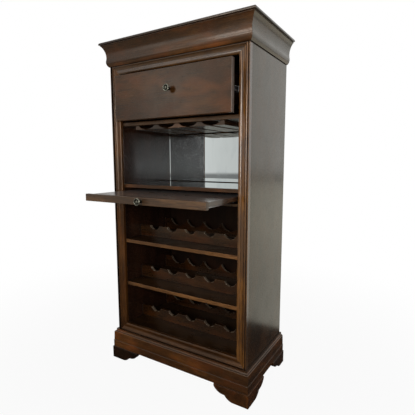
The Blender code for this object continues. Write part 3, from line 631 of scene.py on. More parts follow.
def arc(start: Point, end: Point, rise: float, steps: int = 16) -> list[Point]:
    """Draws an arc between two points.

    Args:
        start: Where it starts, which isn't put out again.
        end: Where it ends.
        rise: How far its middle stands to the left of the chord.
        steps: How many points it has.

    Returns:
        The points after the start.
    """
    first, last = Vector(start), Vector(end)
    chord = last - first
    half = chord.length / 2
    radius = (half**2 + rise**2) / (2 * abs(rise))
    along = chord.normalized()
    outward = Vector((-along.y, along.x)) * math.copysign(1.0, rise)
    centre = (first + last) / 2 + outward * (abs(rise) - radius)
    sweep = math.asin(min(1.0, half / radius))
    angles = [sweep * (2 * step / steps - 1) for step in range(1, steps + 1)]
    return [tuple(centre + (outward * math.cos(a) + along * math.sin(a)) * radius) for a in angles]


def facing(x_axis: Vector, y_axis: Vector) -> Euler:
    """Finds the turn that takes a section's X and Y to two directions."""
    return Matrix((x_axis, y_axis, x_axis.cross(y_axis))).transposed().to_euler()


def welded(name: str, shape: bmesh.types.BMesh) -> Mesh:
    """Turns a drawn shape into a mesh whose faces are joined and look outwards.

    Args:
        name: The mesh's name.
        shape: The shape, which is used up.

    Returns:
        The mesh.
    """
    bmesh.ops.remove_doubles(shape, verts=shape.verts, dist=WELD)
    bmesh.ops.recalc_face_normals(shape, faces=shape.faces)
    mesh = bpy.data.meshes.new(name)
    shape.to_mesh(mesh)
    shape.free()
    return mesh


def keep_shape(node: str, material: Material) -> None:
    """Gives its finish to a node whose own shape is right."""
    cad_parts[node].material_slots[0].material = material
    LOG.info("%s keeps its shape", node)


class GeometryTrees:
    """The geometry node trees that the sub-assemblies share, each built once."""

    def __init__(self) -> None:
        """Builds the trees."""
        self.run = self._run()
        self.scalloped = self._scalloped_rail()

    def _run(self) -> Tree:
        """Builds the tree that runs a drawn section along a straight line, mitres it and repeats it.

        Returns:
            The tree.
        """
        inputs = {"Geometry": "Geometry", "Length": 1.0, "Low Mitre": 0.0, "High Mitre": 0.0,
                  "Turn": "Vector", "Place": "Vector", "Count": 1, "Pitch": "Vector", "Material": "Material"}
        graph, given, end = new_group("moulded run", "Geometry", inputs, {"Geometry": "Geometry"})
        drawn = graph.out("GeometryNodeMeshToCurve", {"Mesh": given["Geometry"]})
        section = graph.out("GeometryNodeFillCurve", {"Curve": drawn}, mode="NGONS")
        extrusion = {"Mesh": section, "Offset": Z_AXIS, "Offset Scale": given["Length"], "Individual": False}
        raised = graph.out("GeometryNodeExtrudeMesh", extrusion, mode="FACES")
        joined = graph.add("GeometryNodeJoinGeometry")
        for mesh in (raised, graph.out("GeometryNodeFlipFaces", {"Mesh": section})):
            graph.give(joined.inputs["Geometry"], mesh)
        merged = graph.out("GeometryNodeMergeByDistance", {"Geometry": joined.outputs[0], "Distance": WELD})
        position = graph.out("GeometryNodeInputPosition")
        x, y, z = graph.add("ShaderNodeSeparateXYZ", {"Vector": position}).outputs
        along = graph.math("SUBTRACT", z, graph.math("MULTIPLY", given["Length"], 0.5))
        upper = graph.math("GREATER_THAN", along, 0.0)
        slope = graph.choose(upper, given["Low Mitre"], given["High Mitre"])
        mitred = graph.math("ADD", along, graph.math("MULTIPLY", slope, x))
        moved = graph.out("ShaderNodeCombineXYZ", {"X": x, "Y": y, "Z": mitred})
        cut = graph.out("GeometryNodeSetPosition", {"Geometry": merged, "Position": moved})
        turn = graph.out("FunctionNodeEulerToRotation", {"Euler": given["Turn"]})
        placement = {"Geometry": cut, "Rotation": turn, "Translation": given["Place"]}
        placed = graph.out("GeometryNodeTransform", placement)
        line = graph.out("GeometryNodeMeshLine", {"Count": given["Count"], "Offset": given["Pitch"]})
        repeated = graph.out("GeometryNodeInstanceOnPoints", {"Points": line, "Instance": placed})
        return self._closed(graph, repeated, given, end)

    def _scalloped_rail(self) -> Tree:
        """Builds the tree that saws a row of round notches out of a rail's upper edge.

        Returns:
            The tree.
        """
        inputs = {"Geometry": "Geometry", "Size": "Vector", "Place": "Vector", "Count": 5, "Pitch": 0.1,
                  "Notch Radius": 0.03, "Notch Height": 0.03, "Material": "Material"}
        graph, given, end = new_group("scalloped rail", "Geometry", inputs, {"Geometry": "Geometry"})
        count, pitch = given["Count"], given["Pitch"]
        blank = graph.out("GeometryNodeMeshCube", {"Size": given["Size"]})
        drum = {"Vertices": 96, "Radius": given["Notch Radius"], "Depth": 0.1}
        saw = graph.out("GeometryNodeMeshCylinder", drum)
        turned = graph.out("GeometryNodeTransform", {"Geometry": saw, "Rotation": (math.pi / 2, 0, 0)})
        first = graph.math("MULTIPLY", graph.math("SUBTRACT", count, 1.0), pitch, -0.5)
        row = {
            "Count": count,
            "Start Location": graph.out("ShaderNodeCombineXYZ", {"X": first, "Z": given["Notch Height"]}),
            "Offset": graph.out("ShaderNodeCombineXYZ", {"X": pitch}),
        }
        line = graph.out("GeometryNodeMeshLine", row)
        saws = graph.out("GeometryNodeInstanceOnPoints", {"Points": line, "Instance": turned})
        solid = graph.out("GeometryNodeRealizeInstances", {"Geometry": saws})
        cut = {"Mesh 1": blank, "Mesh 2": solid}
        sawn = graph.out("GeometryNodeMeshBoolean", cut, operation="DIFFERENCE")
        placed = graph.out("GeometryNodeTransform", {"Geometry": sawn, "Translation": given["Place"]})
        return self._closed(graph, placed, given, end)

    def _closed(self, graph: Graph, geometry: Socket, given: Outputs, end: Node) -> Tree:
        """Ends a tree with plain geometry and its material.

        Args:
            graph: The tree's graph.
            geometry: What the tree has made.
            given: The tree's inputs.
            end: The tree's output node.

        Returns:
            The tree.
        """
        realized = graph.out("GeometryNodeRealizeInstances", {"Geometry": geometry})
        dressing = {"Geometry": realized, "Material": given["Material"]}
        graph.give(end.inputs["Geometry"], graph.out("GeometryNodeSetMaterial", dressing))
        return graph.tree


TREES = GeometryTrees()


class Piece:
    """A piece of the cabinet on its way from a drawn shape to a finished mesh."""

    def __init__(self, name: str, mesh: Mesh | None = None) -> None:
        """Starts a piece from a mesh, or from an empty one."""
        self.obj = bpy.data.objects.new(name, mesh or bpy.data.meshes.new(name))
        bpy.context.scene.collection.objects.link(self.obj)

    @classmethod
    def drawn(cls, name: str, outline: Sequence[Point]) -> "Piece":
        """Starts a piece from a closed section in its own XY plane.

        Args:
            name: The piece's name.
            outline: The section's points.

        Returns:
            The piece.
        """
        mesh = bpy.data.meshes.new(name)
        count = len(outline)
        edges = [(index, (index + 1) % count) for index in range(count)]
        mesh.from_pydata([(x, y, 0.0) for x, y in outline], edges, [])
        return cls(name, mesh)

    @classmethod
    def moulded(cls, name: str, outline: Sequence[Point], length: float, place: Sequence[float],
                x_axis: Vector, y_axis: Vector, **values: Value) -> "Piece":
        """Makes a piece with the same section along a straight line.

        Args:
            name: The piece's name.
            outline: The section's points.
            length: How long the piece is where the section's X is nought.
            place: The middle of that line.
            x_axis: Where the section's X goes.
            y_axis: Where its Y goes.
            **values: The tree's other inputs by name, with _ for a space.

        Returns:
            The piece.
        """
        turn = tuple(facing(x_axis, y_axis))
        return cls.drawn(name, outline).grow(TREES.run, length=length, place=place, turn=turn, **values)

    @classmethod
    def block(cls, name: str, low: Vector, high: Vector) -> "Piece":
        """Starts a piece from a block between two corners.

        Args:
            name: The piece's name.
            low: The lowest corner.
            high: The highest corner.

        Returns:
            The piece.
        """
        mesh = bpy.data.meshes.new(name)
        shape = bmesh.new()
        matrix = Matrix.Translation((low + high) / 2) @ Matrix.Diagonal((*(high - low), 1.0))
        bmesh.ops.create_cube(shape, size=1.0, matrix=matrix)
        shape.to_mesh(mesh)
        shape.free()
        return cls(name, mesh)

    def grow(self, tree: Tree, **values: Value) -> "Piece":
        """Runs a geometry node tree on the piece and keeps the result as a plain mesh.

        Args:
            tree: The tree.
            **values: Its inputs by name, with _ for a space.

        Returns:
            The piece.
        """
        modifier = self.obj.modifiers.new(tree.name, "NODES")
        modifier.node_group = tree
        wanted = {name.replace("_", " ").title(): value for name, value in values.items()}
        for item in tree.interface.items_tree:
            if item.item_type == "SOCKET" and item.in_out == "INPUT" and item.name in wanted:
                modifier[item.identifier] = wanted.pop(item.name)
        if wanted:
            raise ValueError(f"{tree.name} has no input named {sorted(wanted)}")
        return self.settle()

    def settle(self) -> "Piece":
        """Turns the piece's modifiers into its mesh.

        Returns:
            The piece.
        """
        graph = bpy.context.evaluated_depsgraph_get()
        graph.update()
        shown = self.obj.evaluated_get(graph)
        mesh = bpy.data.meshes.new_from_object(shown, preserve_all_data_layers=True, depsgraph=graph)
        self.obj.modifiers.clear()
        self.obj.data = mesh
        return self

    def ease(self, width: float, segments: int = 3, angle: float = 30.0) -> "Piece":
        """Rounds the piece's sharp edges.

        Args:
            width: How wide the rounding is.
            segments: How many faces it has.
            angle: The angle in degrees past which an edge is sharp.

        Returns:
            The piece.
        """
        bevel = self.obj.modifiers.new("eased edges", "BEVEL")
        bevel.width = width
        bevel.segments = segments
        bevel.limit_method = "ANGLE"
        bevel.angle_limit = math.radians(angle)
        bevel.harden_normals = True
        bevel.miter_outer = "MITER_ARC"
        self.obj.data.shade_smooth()
        return self.settle()

    def smooth(self, angle: float = 30.0) -> "Piece":
        """Shades the piece smoothly, but for its sharp edges.

        Args:
            angle: The angle in degrees past which an edge is sharp.

        Returns:
            The piece.
        """
        self.obj.data.shade_smooth()
        self.obj.data.set_sharp_from_angle(angle=math.radians(angle))
        return self

    def dress(self, *materials: Material, rule: Callable[[Face], int] | None = None) -> "Piece":
        """Gives the piece its finish.

        Args:
            *materials: The materials, of which the first covers all faces unless there is a rule.
            rule: Finds the place of a face's material in the list.

        Returns:
            The piece.
        """
        self.obj.data.materials.clear()
        for material in materials:
            self.obj.data.materials.append(material)
        if rule:
            for face in self.obj.data.polygons:
                face.material_index = int(rule(face))
        return self

    def mount(self, body: Body, slot: Slot, *nodes: str) -> "Piece":
        """Puts the piece on its body in place of the nodes that it stands for.

        Args:
            body: The body that it rides on.
            slot: Not used.
            *nodes: The nodes that it stands for.

        Returns:
            The piece.
        """
        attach(self.obj, body.value)
        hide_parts(*nodes)
        LOG.info("%s rides on %s and stands for %s", self.obj.name, body.value, ", ".join(nodes))
        return self


def surround(prefix: str, front: Sequence[Point],
             side: Sequence[Point]) -> Iterator[tuple[str, Piece, Grain]]:
    """Makes the three mouldings round the cabinet's front and sides, mitred at the front corners.

    Args:
        prefix: How the names of their nodes start.
        front: The section of the one at the front.
        side: The section of the ones at the sides.

    Yields:
        The node, the piece and the direction of the grain of each.
    """
    panel_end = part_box("side_panel_right")[1]
    face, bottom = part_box("frame_stile_left")[0].y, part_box(f"{prefix}_front")[0].z
    half, depth = panel_end.x, panel_end.y - face
    side_length, middle = depth - SEAT / 2, face + (depth + SEAT / 2) / 2
    runs = (
        ("front", front, 2 * half - SEAT, (-1.0, 1.0), (0, face, bottom), -Y_AXIS, Grain.ALONG_X),
        ("left", side, side_length, (-1.0, 0.0), (-half, middle, bottom), -X_AXIS, Grain.ALONG_Y),
        ("right", side, side_length, (0.0, 1.0), (half, middle, bottom), X_AXIS, Grain.ALONG_Y),
    )
    for name, section, length, mitres, place, outwards, grain in runs:
        node = f"{prefix}_{name}"
        piece = Piece.moulded(f"{node}_moulding", section, length, place, outwards, Z_AXIS,
                              low_mitre=mitres[0], high_mitre=mitres[1])
        yield node, piece.smooth(), grain


@dataclass
class Board:
    """A plain board with eased edges that stands for one node."""

    node: str
    grain: Grain
    number: int
    body: Body = Body.CABINET
    wood: StainedWood = OUTSIDE
    slot: Slot = Slot.STAIN
    ease: float = 0.0010
    tone: float = 1.0
    edge_tone: float | None = None
    edge_shift: int = 50
    edge_turn: float = 0.4

    def build(self) -> Piece:
        """Makes the board, whose front edge can have a tone of its own, which paints light on a lit front
        edge.

        Returns:
            The piece.
        """
        low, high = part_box(self.node)
        piece = Piece.block(f"{self.node}_board", low, high).ease(self.ease)
        woods = [self.wood.material(self.grain, self.number, self.tone)]
        if self.edge_tone:
            woods.append(self.wood.material(self.grain, self.number + self.edge_shift, self.edge_tone))
        piece.dress(*woods, rule=lambda face: len(woods) > 1 and face.normal.y < -self.edge_turn)
        return piece.mount(self.body, self.slot, self.node)


@dataclass
class FaceFrame:
    """The mitred moulded frame round the opening."""

    width: float = 0.047
    thick: float = 0.020
    opening_edge: float = 0.011
    bead_width: float = 0.0135
    bead_rise: float = 0.0022
    bead_end: float = 0.0135
    quirk: float = 0.0019
    cove_width: float = 0.0160
    cove_end: float = 0.0165
    cove_sag: float = 0.0016
    outer_bead_width: float = 0.0095
    outer_bead_rise: float = 0.0032
    groove_depth: float = 0.0045
    fillet_width: float = 0.0035
    first_board: int = 1
    # The right stile is paler than the left one: partly the wood's own colour, partly painted light on the
    # side nearer the key lamp.
    left_tone: float = 1.35
    right_tone: float = 2.7
    top_tone: float = 1.1
    bottom_tone: float = 1.0

    def section(self) -> list[Point]:
        """Draws the frame's section: X from the opening outwards, Y forwards from its back.

        Returns:
            The points.
        """
        cove_end = self.bead_width + self.cove_width
        outer_end = cove_end + self.outer_bead_width
        floor = self.thick - self.groove_depth
        fillet = self.width - self.fillet_width
        points = [(0.0, 0.0), (self.width, 0.0), (self.width, self.thick), (fillet, self.thick)]
        points += [(fillet, floor), (outer_end, floor)]
        points += arc((outer_end, floor), (cove_end, self.cove_end - self.quirk), -self.outer_bead_rise)
        points += [(cove_end - self.quirk / 4, self.cove_end)]
        cove_start = (self.bead_width, self.bead_end - self.quirk)
        points += arc((cove_end - self.quirk / 4, self.cove_end), cove_start, self.cove_sag)
        points += [(self.bead_width, self.bead_end)]
        points += arc((self.bead_width, self.bead_end), (0.0, self.opening_edge), -self.bead_rise)
        return points

    def build(self) -> None:
        """Makes the two stiles and the two rails."""
        left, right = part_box("frame_stile_left"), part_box("frame_stile_right")
        top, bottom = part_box("frame_rail_top"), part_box("frame_rail_bottom")
        opening = (left[1].x, right[0].x)
        levels = (bottom[1].z, top[0].z)
        back = left[1].y
        across, upright = opening[1] - opening[0] - SEAT, levels[1] - levels[0] - SEAT
        height = sum(levels) / 2
        runs = (
            ("stile_left", upright, (opening[0], back, height), -X_AXIS, FRAMING, self.left_tone),
            ("stile_right", upright, (opening[1], back, height), X_AXIS, GLEAMING, self.right_tone),
            ("rail_top", across, (0, back, levels[1]), Z_AXIS, GLEAMING, self.top_tone),
            ("rail_bottom", across, (0, back, levels[0]), -Z_AXIS, FRAMING, self.bottom_tone),
        )
        for number, (name, length, place, outwards, wood, tone) in enumerate(runs, self.first_board):
            node = f"frame_{name}"
            grain = Grain.ALONG_X if outwards.z else Grain.ALONG_Z
            piece = Piece.moulded(f"{node}_moulding", self.section(), length, place, outwards, -Y_AXIS,
                                  low_mitre=-1.0, high_mitre=1.0)
            piece.smooth().dress(wood.material(grain, number, tone), PAINTED_SHADE_AND_GLAZE.material(grain, number),
                                 rule=lambda face: self.coating(face, Vector(place), outwards))
            piece.mount(Body.CABINET, Slot.STAIN, node)

    def coating(self, face: Face, place: Vector, outwards: Vector) -> Coating:
        """Finds what lies on a face: dark glaze and painted shade fill the quirks and the groove.

        Args:
            face: A face of one of the frame's runs.
            place: The middle of the run's edge along the opening, at its back.
            outwards: The way from the opening.

        Returns:
            The place of its finish.
        """
        groove = (self.bead_width + self.cove_width + self.outer_bead_width, self.width - self.fillet_width)
        across = (face.center - place).dot(outwards)
        depth = place.y - face.center.y
        wall = abs(face.normal.dot(outwards)) > SQUARE and SEAT < across < self.width - SEAT
        floor = groove[0] < across < groove[1] and depth < self.thick - SEAT
        return Coating.GLAZE if (wall or floor) and depth > self.thick / 2 else Coating.WOOD


@dataclass
class Crown:
    """The crown mouldings and the board on top of them."""

    height: float = 0.0911
    soffit: float = 0.0040
    ovolo: float = 0.0125
    ovolo_height: float = 0.0260
    ovolo_bulge: float = 0.0034
    cove: float = 0.0270
    cove_sag: float = 0.0068
    fillet: float = 0.0020
    fillet_height: float = 0.0036
    backing: float = 0.019
    backing_rise: float = 0.0113
    nosing: float = 0.0075
    arris: float = 0.0010
    first_board: int = 5
    top_number: int = 8
    top_tone: float = 0.28
    worn_height: float = 0.0100
    worn_tone: float = 1.6

    def section(self, backed: bool) -> list[Point]:
        """Draws the crown's section: X outwards from the body, Y up from the crown's lower edge.

        Args:
            backed: Whether it has the backing that stands on the face frame.

        Returns:
            The points.
        """
        ovolo_end = (self.ovolo, self.ovolo_height)
        cove_end = (self.cove, self.height - self.fillet_height)
        out = self.cove + self.fillet
        points = [(SEAT, 0.0), (self.soffit, 0.0)]
        points += arc((self.soffit, 0.0), ovolo_end, -self.ovolo_bulge, 20)
        points += arc(ovolo_end, cove_end, self.cove_sag, 32)
        points += [(out, cove_end[1]), (out, self.height)]
        if backed:
            points += [(-self.backing, self.height), (-self.backing, self.backing_rise)]
        return points + [(SEAT, self.backing_rise if backed else self.height)]

    def build(self) -> None:
        """Makes the three mouldings and the top board."""
        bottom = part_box("crown_front")[0].z
        runs = surround("crown", self.section(True), self.section(False))
        for number, (node, piece, grain) in enumerate(runs, self.first_board):
            wood = OUTSIDE if grain is Grain.ALONG_X else SIDE
            piece.dress(wood.material(grain, number), PAINTED_SHADE_AND_GLAZE.material(grain, number),
                        wood.material(grain, number, self.worn_tone),
                        rule=lambda face: self.coating(face, bottom))
            piece.mount(Body.CABINET, Slot.STAIN, node)
        self.build_top()

    def coating(self, face: Face, bottom: float) -> Coating:
        """Finds what lies on a face: painted shadow under the moulding, and paler wood just above its lower
        edge.

        Args:
            face: A face of one of the mouldings.
            bottom: The height of the moulding's lower edge.

        Returns:
            The place of its finish.
        """
        # Painted shadow: the faces that look down take the dark glaze-and-shade finish.
        if face.normal.z < -SQUARE:
            return Coating.GLAZE
        return Coating.WORN if face.center.z < bottom + self.worn_height else Coating.WOOD

    def build_top(self) -> None:
        """Makes the top board, rounded over at the front and the sides."""
        low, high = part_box("top_board")
        piece = Piece.block("top_board_rounded", low, high)
        mesh = piece.obj.data
        weights = mesh.attributes.new("bevel_weight_edge", "FLOAT", "EDGE")
        for edge in mesh.edges:
            ends = [mesh.vertices[index].co for index in edge.vertices]
            upper = all(end.z > (low.z + high.z) / 2 for end in ends)
            at_back = all(end.y > (low.y + high.y) / 2 for end in ends)
            weights.data[edge.index].value = float(upper and not at_back)
        bevel = piece.obj.modifiers.new("nosing", "BEVEL")
        bevel.width = self.nosing
        bevel.segments = 8
        bevel.limit_method = "WEIGHT"
        piece.settle().ease(self.arris, 2)
        piece.dress(OUTSIDE.material(Grain.ALONG_X, self.top_number, self.top_tone))
        piece.mount(Body.CABINET, Slot.STAIN, "top_board")


@dataclass
class Base:
    """The base mouldings and the bracket feet."""

    seat_height: float = 0.078
    rise: float = 0.0125
    inside: float = 0.019
    fillet: float = 0.0086
    fillet_height: float = 0.0045
    quirk: float = 0.0012
    cove: float = 0.0036
    cove_height: float = 0.0050
    cove_sag: float = 0.0009
    nosing: float = 0.0168
    nosing_radius: float = 0.0042
    band_out: float = 0.0180
    ledge: float = 0.0193
    ledge_height: float = 0.0318
    ledge_radius: float = 0.0020
    lower_quirk_height: float = 0.0008
    foot_height: float = 0.056
    foot_thick: float = 0.020
    front_flat: float = 0.072
    rear_flat: float = 0.046
    lower_run: float = 0.036
    lower_rise: float = 0.022
    lower_bulge: float = 0.0045
    upper_run: float = 0.052
    upper_rise: float = 0.026
    upper_bulge: float = 0.0085
    foot_ease: float = 0.0010
    first_board: int = 9
    first_foot: int = 12
    tone: float = 1.65
    ledge_tone: float = 0.50
    # Painted light and shade: the front left foot dark, the front right one pale.
    foot_tones: tuple[float, ...] = (0.20, 1.30, 0.80, 0.80)

    def section(self) -> list[Point]:
        """Draws the base's section: X outwards from the body, Y up from its underside.

        Returns:
            The points.
        """
        top = self.seat_height + self.rise
        cove_top = top - self.fillet_height - self.quirk
        cove_low = cove_top - self.cove_height
        nosing_top = cove_low - self.quirk
        cove_out = self.fillet + self.cove
        ledge_inside = self.band_out - self.quirk
        ledge_top = self.ledge_height + self.ledge_radius
        points = [(-self.inside, 0.0), (self.ledge, 0.0), (self.ledge, self.ledge_height)]
        points += arc((self.ledge, self.ledge_height), (self.ledge - self.ledge_radius, ledge_top),
                      -self.ledge_radius * ROUND, 6)
        points += [(ledge_inside, ledge_top), (ledge_inside, ledge_top + self.lower_quirk_height),
                   (self.band_out, ledge_top + 2 * self.lower_quirk_height)]
        nosing_end = (self.nosing - self.nosing_radius, nosing_top)
        points += [(self.nosing, nosing_top - self.nosing_radius)]
        points += arc(points[-1], nosing_end, -self.nosing_radius * ROUND, 10)
        quirk_out = cove_out - self.quirk
        points += [(quirk_out, nosing_top), (quirk_out, cove_low), (cove_out, cove_low)]
        points += arc((cove_out, cove_low), (self.fillet, cove_top), self.cove_sag, 8)
        points += [(self.fillet - self.quirk, cove_top), (self.fillet - self.quirk, cove_top + self.quirk),
                   (self.fillet, cove_top + self.quirk), (self.fillet, top)]
        return points + [(SEAT, top), (SEAT, self.seat_height), (-self.inside, self.seat_height)]

    def foot_section(self, flat: float) -> list[Point]:
        """Draws a foot's wing: X from the corner inwards, Y up from the floor.

        Args:
            flat: How long its flat sole is.

        Returns:
            The points.
        """
        toe = (flat, 0.0)
        cusp = (flat + self.lower_run, self.lower_rise)
        shoulder = (cusp[0] + self.upper_run, cusp[1] + self.upper_rise)
        points = [(0.0, 0.0), toe]
        points += arc(toe, cusp, -self.lower_bulge, 14)
        points += arc(cusp, shoulder, -self.upper_bulge, 18)
        return points + [(shoulder[0], self.foot_height), (0.0, self.foot_height)]

    def build(self) -> None:
        """Makes the mouldings and the feet."""
        runs = surround("base", self.section(), self.section())
        for number, (node, piece, grain) in enumerate(runs, self.first_board):
            wood = OUTSIDE.material(grain, number, self.tone)
            # Glaze and painted shade: the ledges that look up take a darker tone.
            ledge = FRAMING.material(grain, number, self.ledge_tone)
            piece.dress(wood, ledge, rule=lambda face: face.normal.z > SQUARE)
            piece.mount(Body.CABINET, Slot.STAIN, node)
        feet = (
            ("foot_front_left", Y_AXIS, X_AXIS, self.front_flat),
            ("foot_front_right", Y_AXIS, -X_AXIS, self.front_flat),
            ("foot_rear_left", -Y_AXIS, X_AXIS, self.rear_flat),
            ("foot_rear_right", -Y_AXIS, -X_AXIS, self.rear_flat),
        )
        for index, (foot, tone) in enumerate(zip(feet, self.foot_tones)):
            self.build_foot(*foot, self.first_foot + index, tone)

    def build_foot(self, node: str, along_side: Vector, along_face: Vector, flat: float, number: int,
                   tone: float) -> None:
        """Makes a bracket foot.

        Args:
            node: The node that it stands for.
            along_side: Where its side wing goes.
            along_face: Where its other wing goes.
            flat: How long each wing's sole is.
            number: The board's number.
            tone: How pale it is: painted shade darkens the front left foot, painted light brightens the
                front right one.
        """
        low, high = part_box(node)
        corner = Vector((low.x if along_face.x > 0 else high.x, low.y if along_side.y > 0 else high.y, 0.0))
        piece = Piece(f"{node}_bracket", self.foot_mesh(corner, along_side, along_face, flat))
        woods = (OUTSIDE.material(grain, number, tone) for grain in (Grain.ALONG_Y, Grain.ALONG_X))
        piece.ease(self.foot_ease, 2, 40.0).dress(*woods).mount(Body.CABINET, Slot.STAIN, node)

    def foot_mesh(self, corner: Vector, along_side: Vector, along_face: Vector, flat: float) -> Mesh:
        """Draws a foot of two wings that meet in a mitre.

        Args:
            corner: The foot's outer corner on the floor.
            along_side: Where its side wing goes.
            along_face: Where its other wing goes.
            flat: How long each wing's sole is.

        Returns:
            The mesh, with one material place for each wing.
        """
        outline = self.foot_section(flat)
        shape = bmesh.new()
        for wing, (along, inwards) in enumerate(((along_side, along_face), (along_face, along_side))):
            outer, inner = (
                [shape.verts.new(corner + along * max(run, depth) + inwards * depth + Z_AXIS * height)
                 for run, height in outline]
                for depth in (0.0, self.foot_thick)
            )
            faces = [shape.faces.new(outer), shape.faces.new(inner)]
            for index in range(len(outline) - 1):
                after = index + 1
                faces.append(shape.faces.new((outer[index], outer[after], inner[after], inner[index])))
            for face in faces:
                face.material_index = wing
        return welded("bracket_foot", shape)


@dataclass
class Carcass:
    """The sides, the back, the boards between them and the wine rails."""

    bottle_count: int = 5
    bottle_pitch: float = 0.105
    neck_width: float = 0.058
    neck_depth: float = 0.020
    body_width: float = 0.103
    body_depth: float = 0.037
    rail_ease: float = 0.0016
    # Painted shade: the wine rails are darker than the outside wood.
    rail_tone: float = 0.60
    notch_lean: float = 0.12
    notch_rise: float = 0.15
    shelf_ease: float = 0.0012
    first_shelf: int = 20
    first_front_rail: int = 30
    first_rear_rail: int = 33

    def build(self) -> None:
        """Makes the boards and the rails."""
        self.dress_panels()
        # Painted shade and light: tops inside the wine bays dark, their front edges much paler.
        shelves = (
            ("carcass_floor", 0.42, 0.80),
            ("wine_shelf_lower", 0.48, 2.90),
            ("wine_shelf_upper", 0.48, 3.80),
            ("tray_shelf", 1.00, 1.20),
            ("drawer_shelf", 0.90, 1.00),
        )
        for number, (node, tone, edge_tone) in enumerate(shelves, self.first_shelf):
            Board(node, Grain.ALONG_X, number, wood=SHELF, ease=self.shelf_ease, tone=tone,
                  edge_tone=edge_tone).build()
        for index, level in enumerate(("low", "middle", "high")):
            front, rear = self.first_front_rail + index, self.first_rear_rail + index
            self.build_rail(f"rack_front_{level}", self.neck_width, self.neck_depth, front)
            self.build_rail(f"rack_rear_{level}", self.body_width, self.body_depth, rear)

    def dress_panels(self) -> None:
        """Gives the flat panels, whose shapes are right, their finish."""
        panels = (
            ("side_panel_left", SIDE, Grain.ALONG_Z, 16, 0.9),
            ("side_panel_right", SIDE, Grain.ALONG_Z, 17, 0.9),
            # Painted light: the left inner wall is paler than the right one, where light reaches its front.
            ("inner_side_left", INSIDE, Grain.ALONG_Z, 18, 1.8),
            ("inner_side_right", INSIDE, Grain.ALONG_Z, 19, 1.0),
            ("back_panel", BACKING, Grain.ALONG_Z, 28, 1.0),
            ("base_back", BACKING, Grain.ALONG_X, 29, 1.0),
        )
        for node, wood, grain, number, tone in panels:
            keep_shape(node, wood.material(grain, number, tone))

    def build_rail(self, node: str, notch_width: float, notch_depth: float, number: int) -> None:
        """Makes a wine rail.

        Args:
            node: The node that it stands for.
            notch_width: How wide a notch is at the rail's upper edge.
            notch_depth: How deep a notch is.
            number: The board's number.
        """
        low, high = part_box(node)
        size = high - low
        radius = ((notch_width / 2) ** 2 + notch_depth**2) / (2 * notch_depth)
        wood = RAIL.material(Grain.ALONG_X, number, self.rail_tone)
        piece = Piece(f"{node}_scalloped")
        piece.grow(TREES.scalloped, size=tuple(size), place=tuple((low + high) / 2),
                   count=self.bottle_count, pitch=self.bottle_pitch, notch_radius=radius,
                   notch_height=size.z / 2 - notch_depth + radius, material=wood)
        piece.ease(self.rail_ease, 2, 40.0)
        piece.dress(wood, NOTCH_HIGHLIGHT.material(Grain.ALONG_X, number), rule=self.is_notch)
        piece.mount(Body.CABINET, Slot.STAIN, node)

    def is_notch(self, face: Face) -> bool:
        """Tells whether a face of a wine rail lies in a notch and looks up, where a highlight is painted."""
        return abs(face.normal.x) > self.notch_lean and face.normal.z > self.notch_rise


